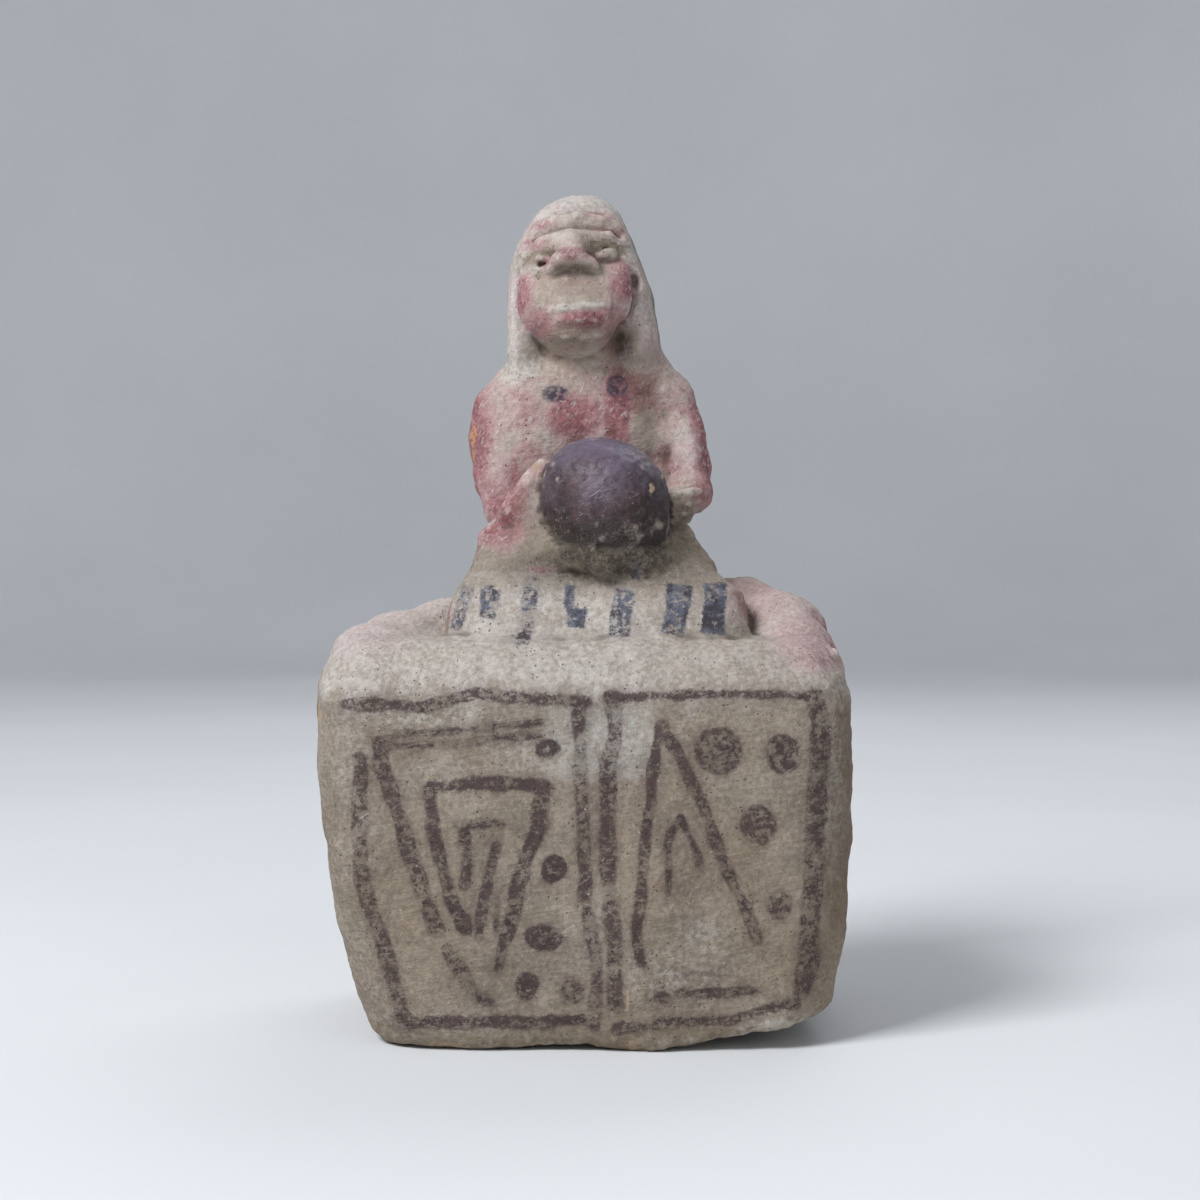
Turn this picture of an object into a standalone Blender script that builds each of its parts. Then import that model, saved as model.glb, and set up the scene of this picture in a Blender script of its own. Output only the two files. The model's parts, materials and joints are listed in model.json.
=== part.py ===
"""Seated fired-clay figure on a painted box-shaped base.

Hollow, hand-built from soft clay pieces luted edge to edge: six slabs make the box, a two-shell torso and a two-shell
head stand on it, and the hair falls, face details, limbs, striped mantle and rounded cap are laid on from outside.
Origin at the bottom centre, +Z up, the figure faces -Y. Dimensions are in millimetres, converted once to metres.
"""

import math

import bmesh
import bpy
from mathutils import Matrix, Vector

# ---------------------------------------------------------------- driving dimensions, mm
MM = 0.001
GAP = 0.3            # dry seam left between luted pieces
WALL = 5.0           # thickness of the box slabs
SHELL = 4.2          # thickness of the torso and head shells

FLOOR_TOP = 5.5      # top of the floor slab
ROOF_UNDER = 86.0    # underside of the top slab
SIDE_SPLIT = 32.0    # the side slabs butt against the front and back slabs here

# box outline by height: z, left x, right x, front y, back y
BOX = [
    (0.0, -46.5, 52.0, -39.0, 37.5),
    (1.6, -49.5, 55.0, -41.0, 39.6),
    (6.0, -51.8, 57.4, -42.2, 41.0),
    (14.0, -54.0, 59.2, -42.7, 41.8),
    (28.0, -57.0, 61.4, -43.0, 42.4),
    (45.0, -59.9, 62.3, -43.0, 42.8),
    (62.0, -61.9, 62.5, -43.0, 43.0),
    (76.0, -62.5, 62.5, -42.6, 42.8),
    (82.0, -61.4, 61.8, -40.6, 41.4),
    (87.0, -57.6, 59.0, -36.4, 38.0),
    (90.6, -51.0, 53.4, -30.4, 33.0),
    (92.6, -42.0, 44.0, -23.0, 27.0),
]
BOX_POWER = 5.0      # how square the plan of the box is (2 would be an ellipse)

# round bodies by height: z, centre x, centre y, half width, half depth
TORSO = [
    (92.0, 3.0, 15.0, 29.0, 19.0),
    (99.0, 3.0, 15.0, 28.5, 18.5),
    (108.0, 3.0, 14.5, 26.0, 17.0),
    (118.0, 2.8, 13.5, 22.5, 14.5),
    (130.0, 2.4, 12.8, 21.0, 12.8),
    (142.0, 1.6, 12.4, 21.5, 12.2),
    (150.0, 0.8, 12.2, 20.5, 11.6),
    (156.0, -0.2, 12.0, 16.0, 10.4),
    (160.0, -1.0, 12.0, 11.5, 9.4),
    (164.0, -1.6, 12.0, 10.0, 9.0),
]
HEAD = [
    (164.3, -1.8, 10.0, 8.5, 9.5),
    (167.0, -2.0, 8.8, 11.0, 12.2),
    (172.0, -2.2, 8.6, 13.0, 13.8),
    (178.0, -2.3, 9.0, 14.0, 14.4),
    (184.0, -2.2, 9.8, 14.0, 14.2),
    (190.0, -2.0, 10.8, 12.8, 13.2),
    (195.0, -1.8, 11.8, 9.8, 10.6),
    (198.4, -1.6, 12.4, 5.8, 6.8),
    (200.0, -1.6, 12.6, 2.4, 3.0),
]
HAIR_LEFT = [
    (154.5, -13.5, 11.5, 5.0, 8.5),
    (160.0, -14.2, 11.2, 4.8, 9.8),
    (168.0, -15.0, 11.4, 4.0, 11.2),
    (176.0, -15.2, 11.8, 3.8, 11.8),
    (184.0, -14.6, 12.4, 3.6, 11.2),
    (190.0, -12.6, 12.8, 3.6, 9.6),
    (195.4, -8.8, 13.0, 3.2, 6.8),
]
HAIR_RIGHT = [
    (156.5, 13.6, 12.0, 5.4, 8.5),
    (161.0, 13.8, 11.6, 5.2, 9.8),
    (168.0, 13.2, 11.6, 5.0, 11.2),
    (176.0, 12.2, 11.8, 4.8, 11.8),
    (184.0, 10.6, 12.4, 3.6, 11.2),
    (190.0, 8.6, 12.8, 3.4, 9.6),
    (195.4, 5.4, 13.0, 3.0, 6.8),
]
MANTLE = [
    (90.0, 3.4, -10.0, 36.0, 20.5),
    (94.0, 3.3, -10.0, 35.4, 19.6),
    (98.0, 3.0, -9.8, 34.0, 18.0),
    (104.0, 2.4, -8.6, 31.4, 15.6),
    (110.0, 1.8, -6.8, 28.4, 13.0),
    (114.5, 1.6, -4.6, 25.0, 10.4),
    (117.5, 1.6, -2.0, 20.0, 7.4),
]
MANTLE_POWER = 3.2

CAP_CENTRE = (5.3, -13.0, 124.0)
CAP_RADII = (15.4, 14.6, 15.1)
CAP_WALL = 5.0

# limbs: x, y, z, radius along the run
ARM_LEFT = [(-15.0, 12.0, 153.0, 5.0), (-20.2, 11.6, 148.0, 6.3), (-22.2, 10.0, 139.0, 6.2),
            (-20.6, 6.4, 128.6, 5.6), (-17.2, 1.0, 121.6, 4.4)]
ARM_RIGHT = [(14.6, 12.2, 154.2, 5.0), (20.6, 11.7, 149.4, 6.3), (24.9, 9.9, 140.2, 6.4),
             (25.4, 6.1, 130.4, 5.8), (23.5, 1.1, 123.5, 4.4)]
LEG_LEFT = [(-18.0, 21.0, 97.0, 8.0), (-31.0, 16.0, 92.6, 9.0), (-42.0, 6.0, 88.4, 9.6),
            (-48.5, -7.0, 85.4, 9.2), (-51.5, -17.0, 83.4, 7.4)]
LEG_RIGHT = [(24.0, 21.0, 99.0, 8.0), (35.0, 15.0, 95.0, 10.2), (44.5, 4.0, 91.2, 10.8),
             (50.5, -8.0, 87.4, 9.8), (53.5, -17.0, 84.6, 7.6)]
FRINGE_RUN = [(-10.5, -15.5, 114.2, 2.6), (-6.5, -24.0, 110.6, 3.2), (5.2, -28.2, 108.8, 3.4),
              (17.0, -24.2, 110.4, 3.2), (21.2, -15.5, 114.0, 2.6)]

# ---------------------------------------------------------------- scene
for old in list(bpy.data.objects):
    bpy.data.objects.remove(old, do_unlink=True)
for old in list(bpy.data.collections):
    bpy.data.collections.remove(old)

bpy.context.scene.unit_settings.system = "METRIC"
bpy.context.scene.unit_settings.scale_length = 1.0

FIGURE = bpy.data.collections.new("fertility_doll")
CUTTERS = bpy.data.collections.new("cutters")
bpy.context.scene.collection.children.link(FIGURE)
bpy.context.scene.collection.children.link(CUTTERS)


def clay(name, colour, roughness):
    material = bpy.data.materials.new(name)
    material.use_nodes = True
    shader = material.node_tree.nodes["Principled BSDF"]
    shader.inputs["Base Color"].default_value = (*colour, 1.0)
    shader.inputs["Roughness"].default_value = roughness
    shader.inputs["Metallic"].default_value = 0.0
    material.diffuse_color = (*colour, 1.0)
    return material


COLOURS = {
    "cream": ((0.335, 0.285, 0.225), 0.82),
    "cream_dark": ((0.245, 0.200, 0.155), 0.85),
    "flesh": ((0.335, 0.190, 0.160), 0.78),
    "red": ((0.250, 0.085, 0.075), 0.75),
    "plum": ((0.070, 0.042, 0.050), 0.50),
    "soot": ((0.060, 0.055, 0.055), 0.85),
    "earth": ((0.150, 0.120, 0.092), 0.95),
}

# ---------------------------------------------------------------- building tools


def place(name, bm, colour=None):
    """Turn a bmesh into a named object: a clay piece when it has a colour, a cutter when it doesn't."""
    bmesh.ops.remove_doubles(bm, verts=bm.verts, dist=0.00001)
    bmesh.ops.recalc_face_normals(bm, faces=bm.faces)
    mesh = bpy.data.meshes.new(name)
    bm.to_mesh(mesh)
    bm.free()
    for face in mesh.polygons:
        face.use_smooth = True
    obj = bpy.data.objects.new(name, mesh)
    if colour:
        rgb, rough = COLOURS[colour]
        mesh.materials.append(clay("clay_" + name, rgb, rough))
        FIGURE.objects.link(obj)
    else:
        obj.hide_render = True
        obj.display_type = "WIRE"
        CUTTERS.objects.link(obj)
    return obj


def loft(name, rings, colour=None, grow=0.0, power=2.0, count=24, deep=0.0):
    """Closed body through level rings (z, centre x, centre y, half width, half depth), ends closed by a fan."""
    bm = bmesh.new()
    rows = []
    for index, (z, cx, cy, rx, ry) in enumerate(rings):
        if index == 0:
            z -= grow + deep
        if index == len(rings) - 1:
            z += grow + (deep if grow < 0 else 0.0)
        row = []
        for step in range(count):
            turn = 2 * math.pi * (step + 0.5) / count
            c, s = math.cos(turn), math.sin(turn)
            k = (abs(c) ** power + abs(s) ** power) ** (-1.0 / power)
            row.append(bm.verts.new(((cx + (rx + grow) * c * k) * MM, (cy + (ry + grow) * s * k) * MM, z * MM)))
        rows.append(row)
    for low, high in zip(rows, rows[1:]):
        for a in range(count):
            b = (a + 1) % count
            bm.faces.new((low[a], low[b], high[b], high[a]))
    for row, turned in ((rows[0], True), (rows[-1], False)):
        middle = bm.verts.new(sum((v.co for v in row), Vector()) / count)
        for a in range(count):
            b = (a + 1) % count
            bm.faces.new((row[b], row[a], middle) if turned else (row[a], row[b], middle))
    return place(name, bm, colour)


def box(name, low, high, colour=None, turn=None):
    """Block between two corners, used to say which part of a body a piece keeps."""
    bm = bmesh.new()
    bmesh.ops.create_cube(bm, size=1.0)
    for v in bm.verts:
        v.co = Vector([(low[i] if v.co[i] < 0 else high[i]) * MM for i in range(3)])
    if turn:
        middle = Vector([(low[i] + high[i]) / 2 * MM for i in range(3)])
        bmesh.ops.rotate(bm, verts=bm.verts, cent=middle, matrix=Matrix.Rotation(math.radians(turn[0]), 3, turn[1]))
    return place(name, bm, colour)


def ball(name, centre, radii, colour=None, turn=(0.0, 0.0, 0.0), grow=0.0, around=18, rings=11):
    """Ellipsoid with its own tilt, in degrees about X, Y and Z."""
    bm = bmesh.new()
    bmesh.ops.create_uvsphere(bm, u_segments=around, v_segments=rings, radius=1.0)
    size = Matrix.Diagonal([(r + grow) * MM for r in radii]).to_4x4()
    spin = Matrix.Identity(4)
    for axis, angle in zip("XYZ", turn):
        spin = Matrix.Rotation(math.radians(angle), 4, axis) @ spin
    bm.transform(Matrix.Translation([c * MM for c in centre]) @ spin @ size)
    return place(name, bm, colour)


def limb(name, run, colour=None, grow=0.0, round_ends=True):
    """Tapered roll of clay along a smooth run, made from a bevelled curve with filled ends."""
    curve = bpy.data.curves.new(name + "_run", "CURVE")
    curve.dimensions = "3D"
    curve.resolution_u = 3
    curve.bevel_depth = 1.0 * MM
    curve.bevel_resolution = 3
    curve.use_fill_caps = True
    points = [(Vector(p[:3]), p[3]) for p in run]
    if round_ends:
        first, last = points[0], points[-1]
        out_a = (first[0] - points[1][0]).normalized()
        out_b = (last[0] - points[-2][0]).normalized()
        points = (
            [(first[0] + out_a * first[1] * 0.95, first[1] * 0.30), (first[0] + out_a * first[1] * 0.62, first[1] * 0.76)]
            + points
            + [(last[0] + out_b * last[1] * 0.62, last[1] * 0.76), (last[0] + out_b * last[1] * 0.95, last[1] * 0.30)]
        )
    spline = curve.splines.new("BEZIER")
    spline.bezier_points.add(len(points) - 1)
    for knot, (where, radius) in zip(spline.bezier_points, points):
        knot.co = where * MM
        knot.radius = radius + grow
        knot.handle_left_type = knot.handle_right_type = "AUTO"
    holder = bpy.data.objects.new(name + "_run", curve)
    CUTTERS.objects.link(holder)
    bpy.context.view_layer.update()
    graph = bpy.context.evaluated_depsgraph_get()
    solid = bpy.data.meshes.new_from_object(holder.evaluated_get(graph))
    bm = bmesh.new()
    bm.from_mesh(solid)
    bpy.data.objects.remove(holder, do_unlink=True)
    bpy.data.curves.remove(curve)
    bpy.data.meshes.remove(solid)
    return place(name, bm, colour)


def cut(obj, *cutters, operation="DIFFERENCE"):
    for cutter in cutters:
        step = obj.modifiers.new(operation.lower() + "_" + cutter.name, "BOOLEAN")
        step.operation = operation
        step.solver = "EXACT"
        step.object = cutter
        step.show_render = step.show_viewport
    return obj


def keep(obj, region):
    return cut(obj, region, operation="INTERSECT")


# ---------------------------------------------------------------- box of six slabs
BOX_RINGS = [(z, (l + r) / 2, (f + b) / 2, (r - l) / 2, (b - f) / 2) for z, l, r, f, b in BOX]


def box_body(name, colour=None, grow=0.0):
    return loft(name, BOX_RINGS, colour, grow=grow, power=BOX_POWER, count=40)


hollow = loft("box_hollow", [r for r in BOX_RINGS if 4.0 < r[0] < 84.0], power=BOX_POWER, count=40, grow=-WALL, deep=12.0)
hip_opening = loft("hip_opening", [(80.0, 3.0, 15.0, 17.0, 10.0), (100.0, 3.0, 15.0, 17.0, 10.0)], count=20)

floor = box_body("base_floor_slab", "cream_dark")
keep(floor, box("keep_floor", (-80, -60, -5), (80, 60, FLOOR_TOP)))

front = box_body("base_front_wall", "cream")
keep(cut(front, hollow), box("keep_front", (-80, -60, FLOOR_TOP + GAP), (80, -SIDE_SPLIT, ROOF_UNDER - GAP)))

back = box_body("base_back_wall", "cream_dark")
keep(cut(back, hollow), box("keep_back", (-80, SIDE_SPLIT, FLOOR_TOP + GAP), (80, 60, ROOF_UNDER - GAP)))

side_low, side_high = FLOOR_TOP + GAP, ROOF_UNDER - GAP
left = box_body("base_left_wall", "cream_dark")
keep(cut(left, hollow), box("keep_left", (-80, -SIDE_SPLIT + GAP, side_low), (-30, SIDE_SPLIT - GAP, side_high)))
right = box_body("base_right_wall", "cream_dark")
keep(cut(right, hollow), box("keep_right", (30, -SIDE_SPLIT + GAP, side_low), (80, SIDE_SPLIT - GAP, side_high)))

roof = box_body("base_top_slab", "cream")
cut(keep(roof, box("keep_roof", (-80, -60, ROOF_UNDER), (80, 60, 110))), hip_opening)

box_out = box_body("box_outline", grow=GAP)

# ---------------------------------------------------------------- torso of two shells
TORSO_SPLIT = 13.0
torso_out = loft("torso_outline", TORSO, grow=GAP, count=28)
torso_in = loft("torso_hollow", TORSO, grow=-SHELL, deep=16.0, count=20)

torso_front = loft("torso_front_shell", TORSO, "flesh", count=28)
cut(torso_front, torso_in, box_out)
keep(torso_front, box("keep_torso_front", (-60, -40, 80), (60, TORSO_SPLIT, 170)))
torso_back = loft("torso_back_shell", TORSO, "red", count=28)
cut(torso_back, torso_in, box_out)
keep(torso_back, box("keep_torso_back", (-60, TORSO_SPLIT + GAP, 80), (60, 60, 170)))

# ---------------------------------------------------------------- head of two shells
HEAD_SPLIT = 11.0
head_out = loft("head_outline", HEAD, grow=GAP, count=28)
head_in = loft("head_hollow", [r for r in HEAD if r[0] < 197.0], grow=-SHELL, deep=8.0, count=18)

head_front = loft("head_front_shell", HEAD, "flesh", count=28)
cut(head_front, head_in)
keep(head_front, box("keep_head_front", (-40, -40, 160), (40, HEAD_SPLIT, 210)))
head_back = loft("head_back_shell", HEAD, "soot", count=28)
cut(head_back, head_in)
keep(head_back, box("keep_head_back", (-40, HEAD_SPLIT + GAP, 160), (40, 60, 210)))

# ---------------------------------------------------------------- hair falls and band
hair_left = loft("hair_left_fall", HAIR_LEFT, "cream", count=18)
cut(hair_left, head_out, torso_out)
hair_right = loft("hair_right_fall", HAIR_RIGHT, "cream", count=18)
cut(hair_right, head_out, torso_out)
hair_left_out = loft("hair_left_outline", HAIR_LEFT, grow=GAP, count=18)
hair_right_out = loft("hair_right_outline", HAIR_RIGHT, grow=GAP, count=18)

band = loft("headband", HEAD, "flesh", grow=1.9, count=28)
keep(band, box("keep_band", (-40, -30, 190.4), (40, HEAD_SPLIT + 1.0, 194.4), turn=(10.0, "X")))
cut(band, head_out, hair_left_out, hair_right_out)

# ---------------------------------------------------------------- face
brow_left = ball("brow_left", (-9.6, -1.6, 187.2), (4.9, 2.3, 1.5), "flesh", turn=(-18, 10, -22), around=12, rings=8)
brow_right = ball("brow_right", (4.4, -1.6, 188.4), (4.9, 2.3, 1.5), "flesh", turn=(-18, -8, 22), around=12, rings=8)
eye_left = ball("eye_left", (-9.8, -3.0, 182.6), (3.0, 1.9, 1.7), "soot", turn=(0, 6, -26), around=12, rings=8)
eye_right = ball("eye_right", (5.4, -3.2, 184.2), (3.0, 1.9, 1.7), "soot", turn=(0, -6, 26), around=12, rings=8)
for piece in (brow_left, brow_right, eye_left, eye_right):
    cut(piece, head_out)

nose = loft(
    "nose",
    [(175.6, -3.2, -5.0, 3.0, 2.2), (176.8, -3.3, -5.6, 5.0, 4.0), (178.8, -3.3, -5.8, 5.3, 5.0), (181.0, -3.2, -5.2, 3.9, 4.6),
     (184.4, -2.9, -4.2, 2.6, 3.2), (187.6, -2.7, -3.4, 2.2, 2.2), (189.2, -2.6, -2.8, 1.6, 1.4)],
    "flesh", count=14,
)
nose_gap = [brow_left, brow_right]
cut(nose, head_out)
lip_upper = ball("lip_upper", (-1.2, -5.0, 172.9), (6.2, 2.6, 1.5), "flesh", turn=(0, -7, 0), around=14, rings=8)
lip_lower = ball("lip_lower", (-1.2, -4.4, 169.4), (5.4, 2.6, 1.6), "red", turn=(0, -7, 0), around=14, rings=8)
for piece in (lip_upper, lip_lower):
    cut(piece, head_out)

# ---------------------------------------------------------------- mantle of the bowed figure
leg_left_out = limb("leg_left_outline", LEG_LEFT, grow=GAP)
leg_right_out = limb("leg_right_outline", LEG_RIGHT, grow=GAP)
mantle_out = loft("mantle_outline", MANTLE, grow=GAP, power=MANTLE_POWER, count=32)
mantle_in = loft("mantle_hollow", [r for r in MANTLE if r[0] < 112.0], grow=-SHELL, deep=14.0, power=MANTLE_POWER, count=24)
mantle = loft("mantle", MANTLE, "cream", power=MANTLE_POWER, count=32)
cut(mantle, mantle_in, box_out, torso_out)

cap_out = ball("cap_outline", CAP_CENTRE, CAP_RADII, grow=GAP, around=26, rings=16)
cap_in = ball("cap_hollow", CAP_CENTRE, CAP_RADII, grow=-CAP_WALL, around=16, rings=10)
cap_drain = loft("cap_drain", [(100.0, 5.3, -10.0, 5.0, 5.0), (120.0, 5.3, -10.0, 5.0, 5.0)], count=14)
cap = ball("cap_dome", CAP_CENTRE, CAP_RADII, "plum", around=26, rings=16)
cut(cap, cap_in, cap_drain, mantle_out, torso_out)

fringe = limb("nape_fringe", FRINGE_RUN, "earth")
cut(fringe, cap_out, mantle_out)
fringe_out = limb("fringe_outline", FRINGE_RUN, grow=GAP)

# ---------------------------------------------------------------- legs and feet
leg_left = limb("leg_left", LEG_LEFT, "flesh")
cut(leg_left, box_out, torso_out, mantle_out)
leg_right = limb("leg_right", LEG_RIGHT, "flesh")
cut(leg_right, box_out, torso_out, mantle_out)

foot_left = ball("foot_left", (-53.0, -24.0, 85.6), (6.4, 6.2, 4.8), "flesh", turn=(-30, 0, -10), around=14, rings=9)
cut(foot_left, box_out, leg_left_out)
foot_right = ball("foot_right", (54.6, -24.4, 86.4), (6.6, 6.4, 5.0), "flesh", turn=(-30, 0, 10), around=14, rings=9)
cut(foot_right, box_out, leg_right_out)

# ---------------------------------------------------------------- shoulders of the bowed figure
shoulder_left = ball("small_shoulder_left", (-16.6, -9.0, 116.6), (8.8, 6.6, 5.0), "flesh", turn=(0, -24, 12), around=16, rings=10)
shoulder_right = ball("small_shoulder_right", (24.4, -9.0, 113.6), (6.4, 6.2, 4.6), "cream", turn=(0, 26, -12), around=16, rings=10)
for piece in (shoulder_left, shoulder_right):
    cut(piece, mantle_out, cap_out, torso_out, fringe_out)
shoulder_left_out = ball("shoulder_left_outline", (-16.6, -9.0, 116.6), (8.8, 6.6, 5.0), turn=(0, -24, 12), grow=GAP, around=16, rings=10)
shoulder_right_out = ball("shoulder_right_outline", (24.4, -9.0, 113.6), (6.4, 6.2, 4.6), turn=(0, 26, -12), grow=GAP, around=16, rings=10)

# ---------------------------------------------------------------- arms and hands
arm_left = limb("arm_left", ARM_LEFT, "red")
cut(arm_left, torso_out, hair_left_out, mantle_out, cap_out, shoulder_left_out)
arm_right = limb("arm_right", ARM_RIGHT, "red")
cut(arm_right, torso_out, hair_right_out, mantle_out, cap_out, shoulder_right_out)
arm_left_out = limb("arm_left_outline", ARM_LEFT, grow=GAP)
arm_right_out = limb("arm_right_outline", ARM_RIGHT, grow=GAP)

hand_left = ball("hand_left", (-14.6, -4.0, 120.0), (3.8, 4.4, 3.0), "red", turn=(-20, 0, -30), around=14, rings=9)
cut(hand_left, arm_left_out, torso_out, mantle_out, cap_out, shoulder_left_out)
hand_right = ball("hand_right", (22.6, -4.4, 121.4), (4.2, 4.6, 4.0), "flesh", turn=(-20, 0, 20), around=14, rings=9)
cut(hand_right, arm_right_out, torso_out, mantle_out, cap_out, shoulder_right_out)

bpy.context.view_layer.update()
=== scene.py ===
import json
import math

import bpy
import numpy as np
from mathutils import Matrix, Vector


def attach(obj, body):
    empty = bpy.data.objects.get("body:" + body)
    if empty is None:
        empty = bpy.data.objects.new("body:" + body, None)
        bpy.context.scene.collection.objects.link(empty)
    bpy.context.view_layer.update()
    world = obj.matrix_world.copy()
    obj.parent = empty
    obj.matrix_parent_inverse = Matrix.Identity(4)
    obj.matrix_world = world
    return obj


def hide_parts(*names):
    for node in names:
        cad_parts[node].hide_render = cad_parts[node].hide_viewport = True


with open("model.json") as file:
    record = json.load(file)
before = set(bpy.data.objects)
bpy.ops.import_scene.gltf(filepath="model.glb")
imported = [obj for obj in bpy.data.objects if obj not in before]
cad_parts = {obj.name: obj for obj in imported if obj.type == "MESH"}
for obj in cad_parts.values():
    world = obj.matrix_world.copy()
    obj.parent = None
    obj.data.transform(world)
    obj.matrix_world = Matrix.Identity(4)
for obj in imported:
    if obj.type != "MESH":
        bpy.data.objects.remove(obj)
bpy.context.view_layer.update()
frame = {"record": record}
F4 = np.float32

# =====================================================================================================================
# 1. shape: every lump of clay is a distance function in millimetres, pressed into its neighbours with a soft union
# =====================================================================================================================


def smin(a, b, k):
    h = np.clip(0.5 + 0.5 * (b - a) / k, 0, 1)
    return b * (1 - h) + a * h - k * h * (1 - h)


def smax(a, b, k):
    return -smin(-a, -b, k)


def step01(lo, hi, x):
    t = np.clip((x - lo) / (hi - lo), 0, 1)
    return t * t * (3 - 2 * t)


def waves(x, y, z, size, seed, count=8):
    """Smooth, repeatable unevenness of about unit height, with lumps of the given size in mm."""
    rng = np.random.default_rng(seed)
    total = 0
    for _ in range(count):
        d = rng.normal(size=3)
        d /= np.linalg.norm(d)
        f = 2 * math.pi / size * rng.uniform(0.6, 1.5)
        total = total + np.sin(f * (d[0] * x + d[1] * y + d[2] * z) + rng.uniform(0, 2 * math.pi))
    return (total / math.sqrt(count / 2)).astype(F4) if hasattr(total, "astype") else total


def rings_curve(rows, smooth=1.2):
    """Rows of (height, values...) turned into smooth functions of height."""
    rows = np.array(rows, float)
    zs = np.linspace(rows[0, 0], rows[-1, 0], 400)
    width = max(1, int(smooth / (zs[1] - zs[0])))
    kernel = np.hanning(2 * width + 3)
    kernel /= kernel.sum()
    table = []
    for c in range(1, rows.shape[1]):
        v = np.interp(zs, rows[:, 0], rows[:, c])
        pad = len(kernel) // 2
        v = np.convolve(np.concatenate([np.full(pad, v[0]), v, np.full(pad, v[-1])]), kernel, "valid")
        table.append(v)
    return zs, table


class Loft:
    """Upright body with superellipse sections (z, centre x, centre y, half width, half depth)."""

    def __init__(self, rows, power=2.0, smooth=1.2, cap=2.0):
        self.zs, self.t = rings_curve(rows, smooth)
        self.p, self.cap = power, cap
        r = np.array(rows, float)
        self.lo = np.array([(r[:, 1] - r[:, 3]).min(), (r[:, 2] - r[:, 4]).min(), r[0, 0]])
        self.hi = np.array([(r[:, 1] + r[:, 3]).max(), (r[:, 2] + r[:, 4]).max(), r[-1, 0]])

    def __call__(self, x, y, z):
        cx, cy, rx, ry = [np.interp(z, self.zs, v).astype(F4) for v in self.t]
        ax, ay = np.abs(x - cx) / rx, np.abs(y - cy) / ry
        px, py = ax**self.p + 1e-9, ay**self.p + 1e-9
        r = (px + py) ** (1.0 / self.p)
        size = (rx * px + ry * py) / (px + py)
        side = (r - 1) * size
        return smax(side, smax(self.zs[0] - z, z - self.zs[-1], 0.5), self.cap)


class Roll:
    """Roll of clay through points (x, y, z, radius)."""

    def __init__(self, pts, k=1.5, flat=None):
        self.pts, self.k, self.flat = [np.array(p, float) for p in pts], k, flat
        a = np.array(self.pts)
        self.lo = (a[:, :3] - a[:, 3:4]).min(0)
        self.hi = (a[:, :3] + a[:, 3:4]).max(0)

    def __call__(self, x, y, z):
        out = None
        for p, q in zip(self.pts, self.pts[1:]):
            d = q[:3] - p[:3]
            px, py, pz = x - p[0], y - p[1], z - p[2]
            t = np.clip((px * d[0] + py * d[1] + pz * d[2]) / (d @ d), 0, 1)
            dist = np.sqrt((px - t * d[0]) ** 2 + (py - t * d[1]) ** 2 + (pz - t * d[2]) ** 2) - (p[3] + t * (q[3] - p[3]))
            out = dist if out is None else smin(out, dist, self.k)
        return out


class Lump:
    """Ellipsoid with a tilt in degrees about X, then Y, then Z."""

    def __init__(self, c, r, turn=(0, 0, 0)):
        self.c, self.r = np.array(c, float), np.array(r, float)
        m = np.eye(3)
        for axis, angle in enumerate(turn):
            a = math.radians(angle)
            i, j = [(1, 2), (2, 0), (0, 1)][axis]
            s = np.eye(3)
            s[i, i] = s[j, j] = math.cos(a)
            s[i, j], s[j, i] = -math.sin(a), math.sin(a)
            m = s @ m
        self.m = m.T
        reach = np.abs(m) @ self.r
        self.lo, self.hi = self.c - reach, self.c + reach

    def __call__(self, x, y, z):
        x, y, z = x - self.c[0], y - self.c[1], z - self.c[2]
        m, r = self.m, self.r
        u = (m[0, 0] * x + m[0, 1] * y + m[0, 2] * z) / r[0]
        v = (m[1, 0] * x + m[1, 1] * y + m[1, 2] * z) / r[1]
        w = (m[2, 0] * x + m[2, 1] * y + m[2, 2] * z) / r[2]
        k0 = np.sqrt(u * u + v * v + w * w) + 1e-6
        k1 = np.sqrt((u / r[0]) ** 2 + (v / r[1]) ** 2 + (w / r[2]) ** 2) + 1e-6
        return k0 * (k0 - 1) / k1


BOX = [  # z, left, right, front, back
    (0, -49.0, 55.0, -41.2, 39.8), (6, -51.8, 57.4, -42.2, 41.2), (14, -54.0, 59.2, -42.7, 41.8),
    (28, -57.0, 61.4, -43.0, 42.4), (45, -59.9, 62.3, -43.0, 42.8), (62, -61.9, 62.5, -43.0, 43.0),
    (76, -62.5, 62.5, -42.7, 42.8), (94, -62.3, 62.3, -42.2, 42.2),
]


class BoxBody:
    """The six-slab box: tapering, with bowed faces, rounded upright corners and a rolled top edge."""

    lo, hi = np.array([-64.0, -45.0, -0.2]), np.array([64.0, 45.0, 95.0])

    def __init__(self):
        self.zs, self.t = rings_curve(BOX, 6.0)

    def __call__(self, x, y, z):
        l, r, f, b = [np.interp(z, self.zs, v).astype(F4) for v in self.t]
        cx, cy, rx, ry = (l + r) / 2, (f + b) / 2, (r - l) / 2, (b - f) / 2
        dx, dy = np.abs(x - cx), np.abs(y - cy)
        corner = 12.0
        qx = dx - rx + corner + 1.6 * (dy / ry) ** 2
        qy = dy - ry + corner + 3.0 * (dx / rx) ** 2
        side = np.sqrt(np.maximum(qx, 0) ** 2 + np.maximum(qy, 0) ** 2) + np.minimum(np.maximum(qx, qy), 0) - corner
        top = z - (93.6 - 2.2 * (dx / 62) ** 2 - 1.6 * (dy / 43) ** 2)
        big = 12.5
        u, v = np.maximum(side + big, 0), np.maximum(top + big, 0)
        d = np.sqrt(u * u + v * v) + np.minimum(np.maximum(side + big, top + big), 0) - big
        small = 3.6
        under = -z
        u, v = np.maximum(d + small, 0), np.maximum(under + small, 0)
        d = np.sqrt(u * u + v * v) + np.minimum(np.maximum(d + small, under + small), 0) - small
        return d


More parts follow.
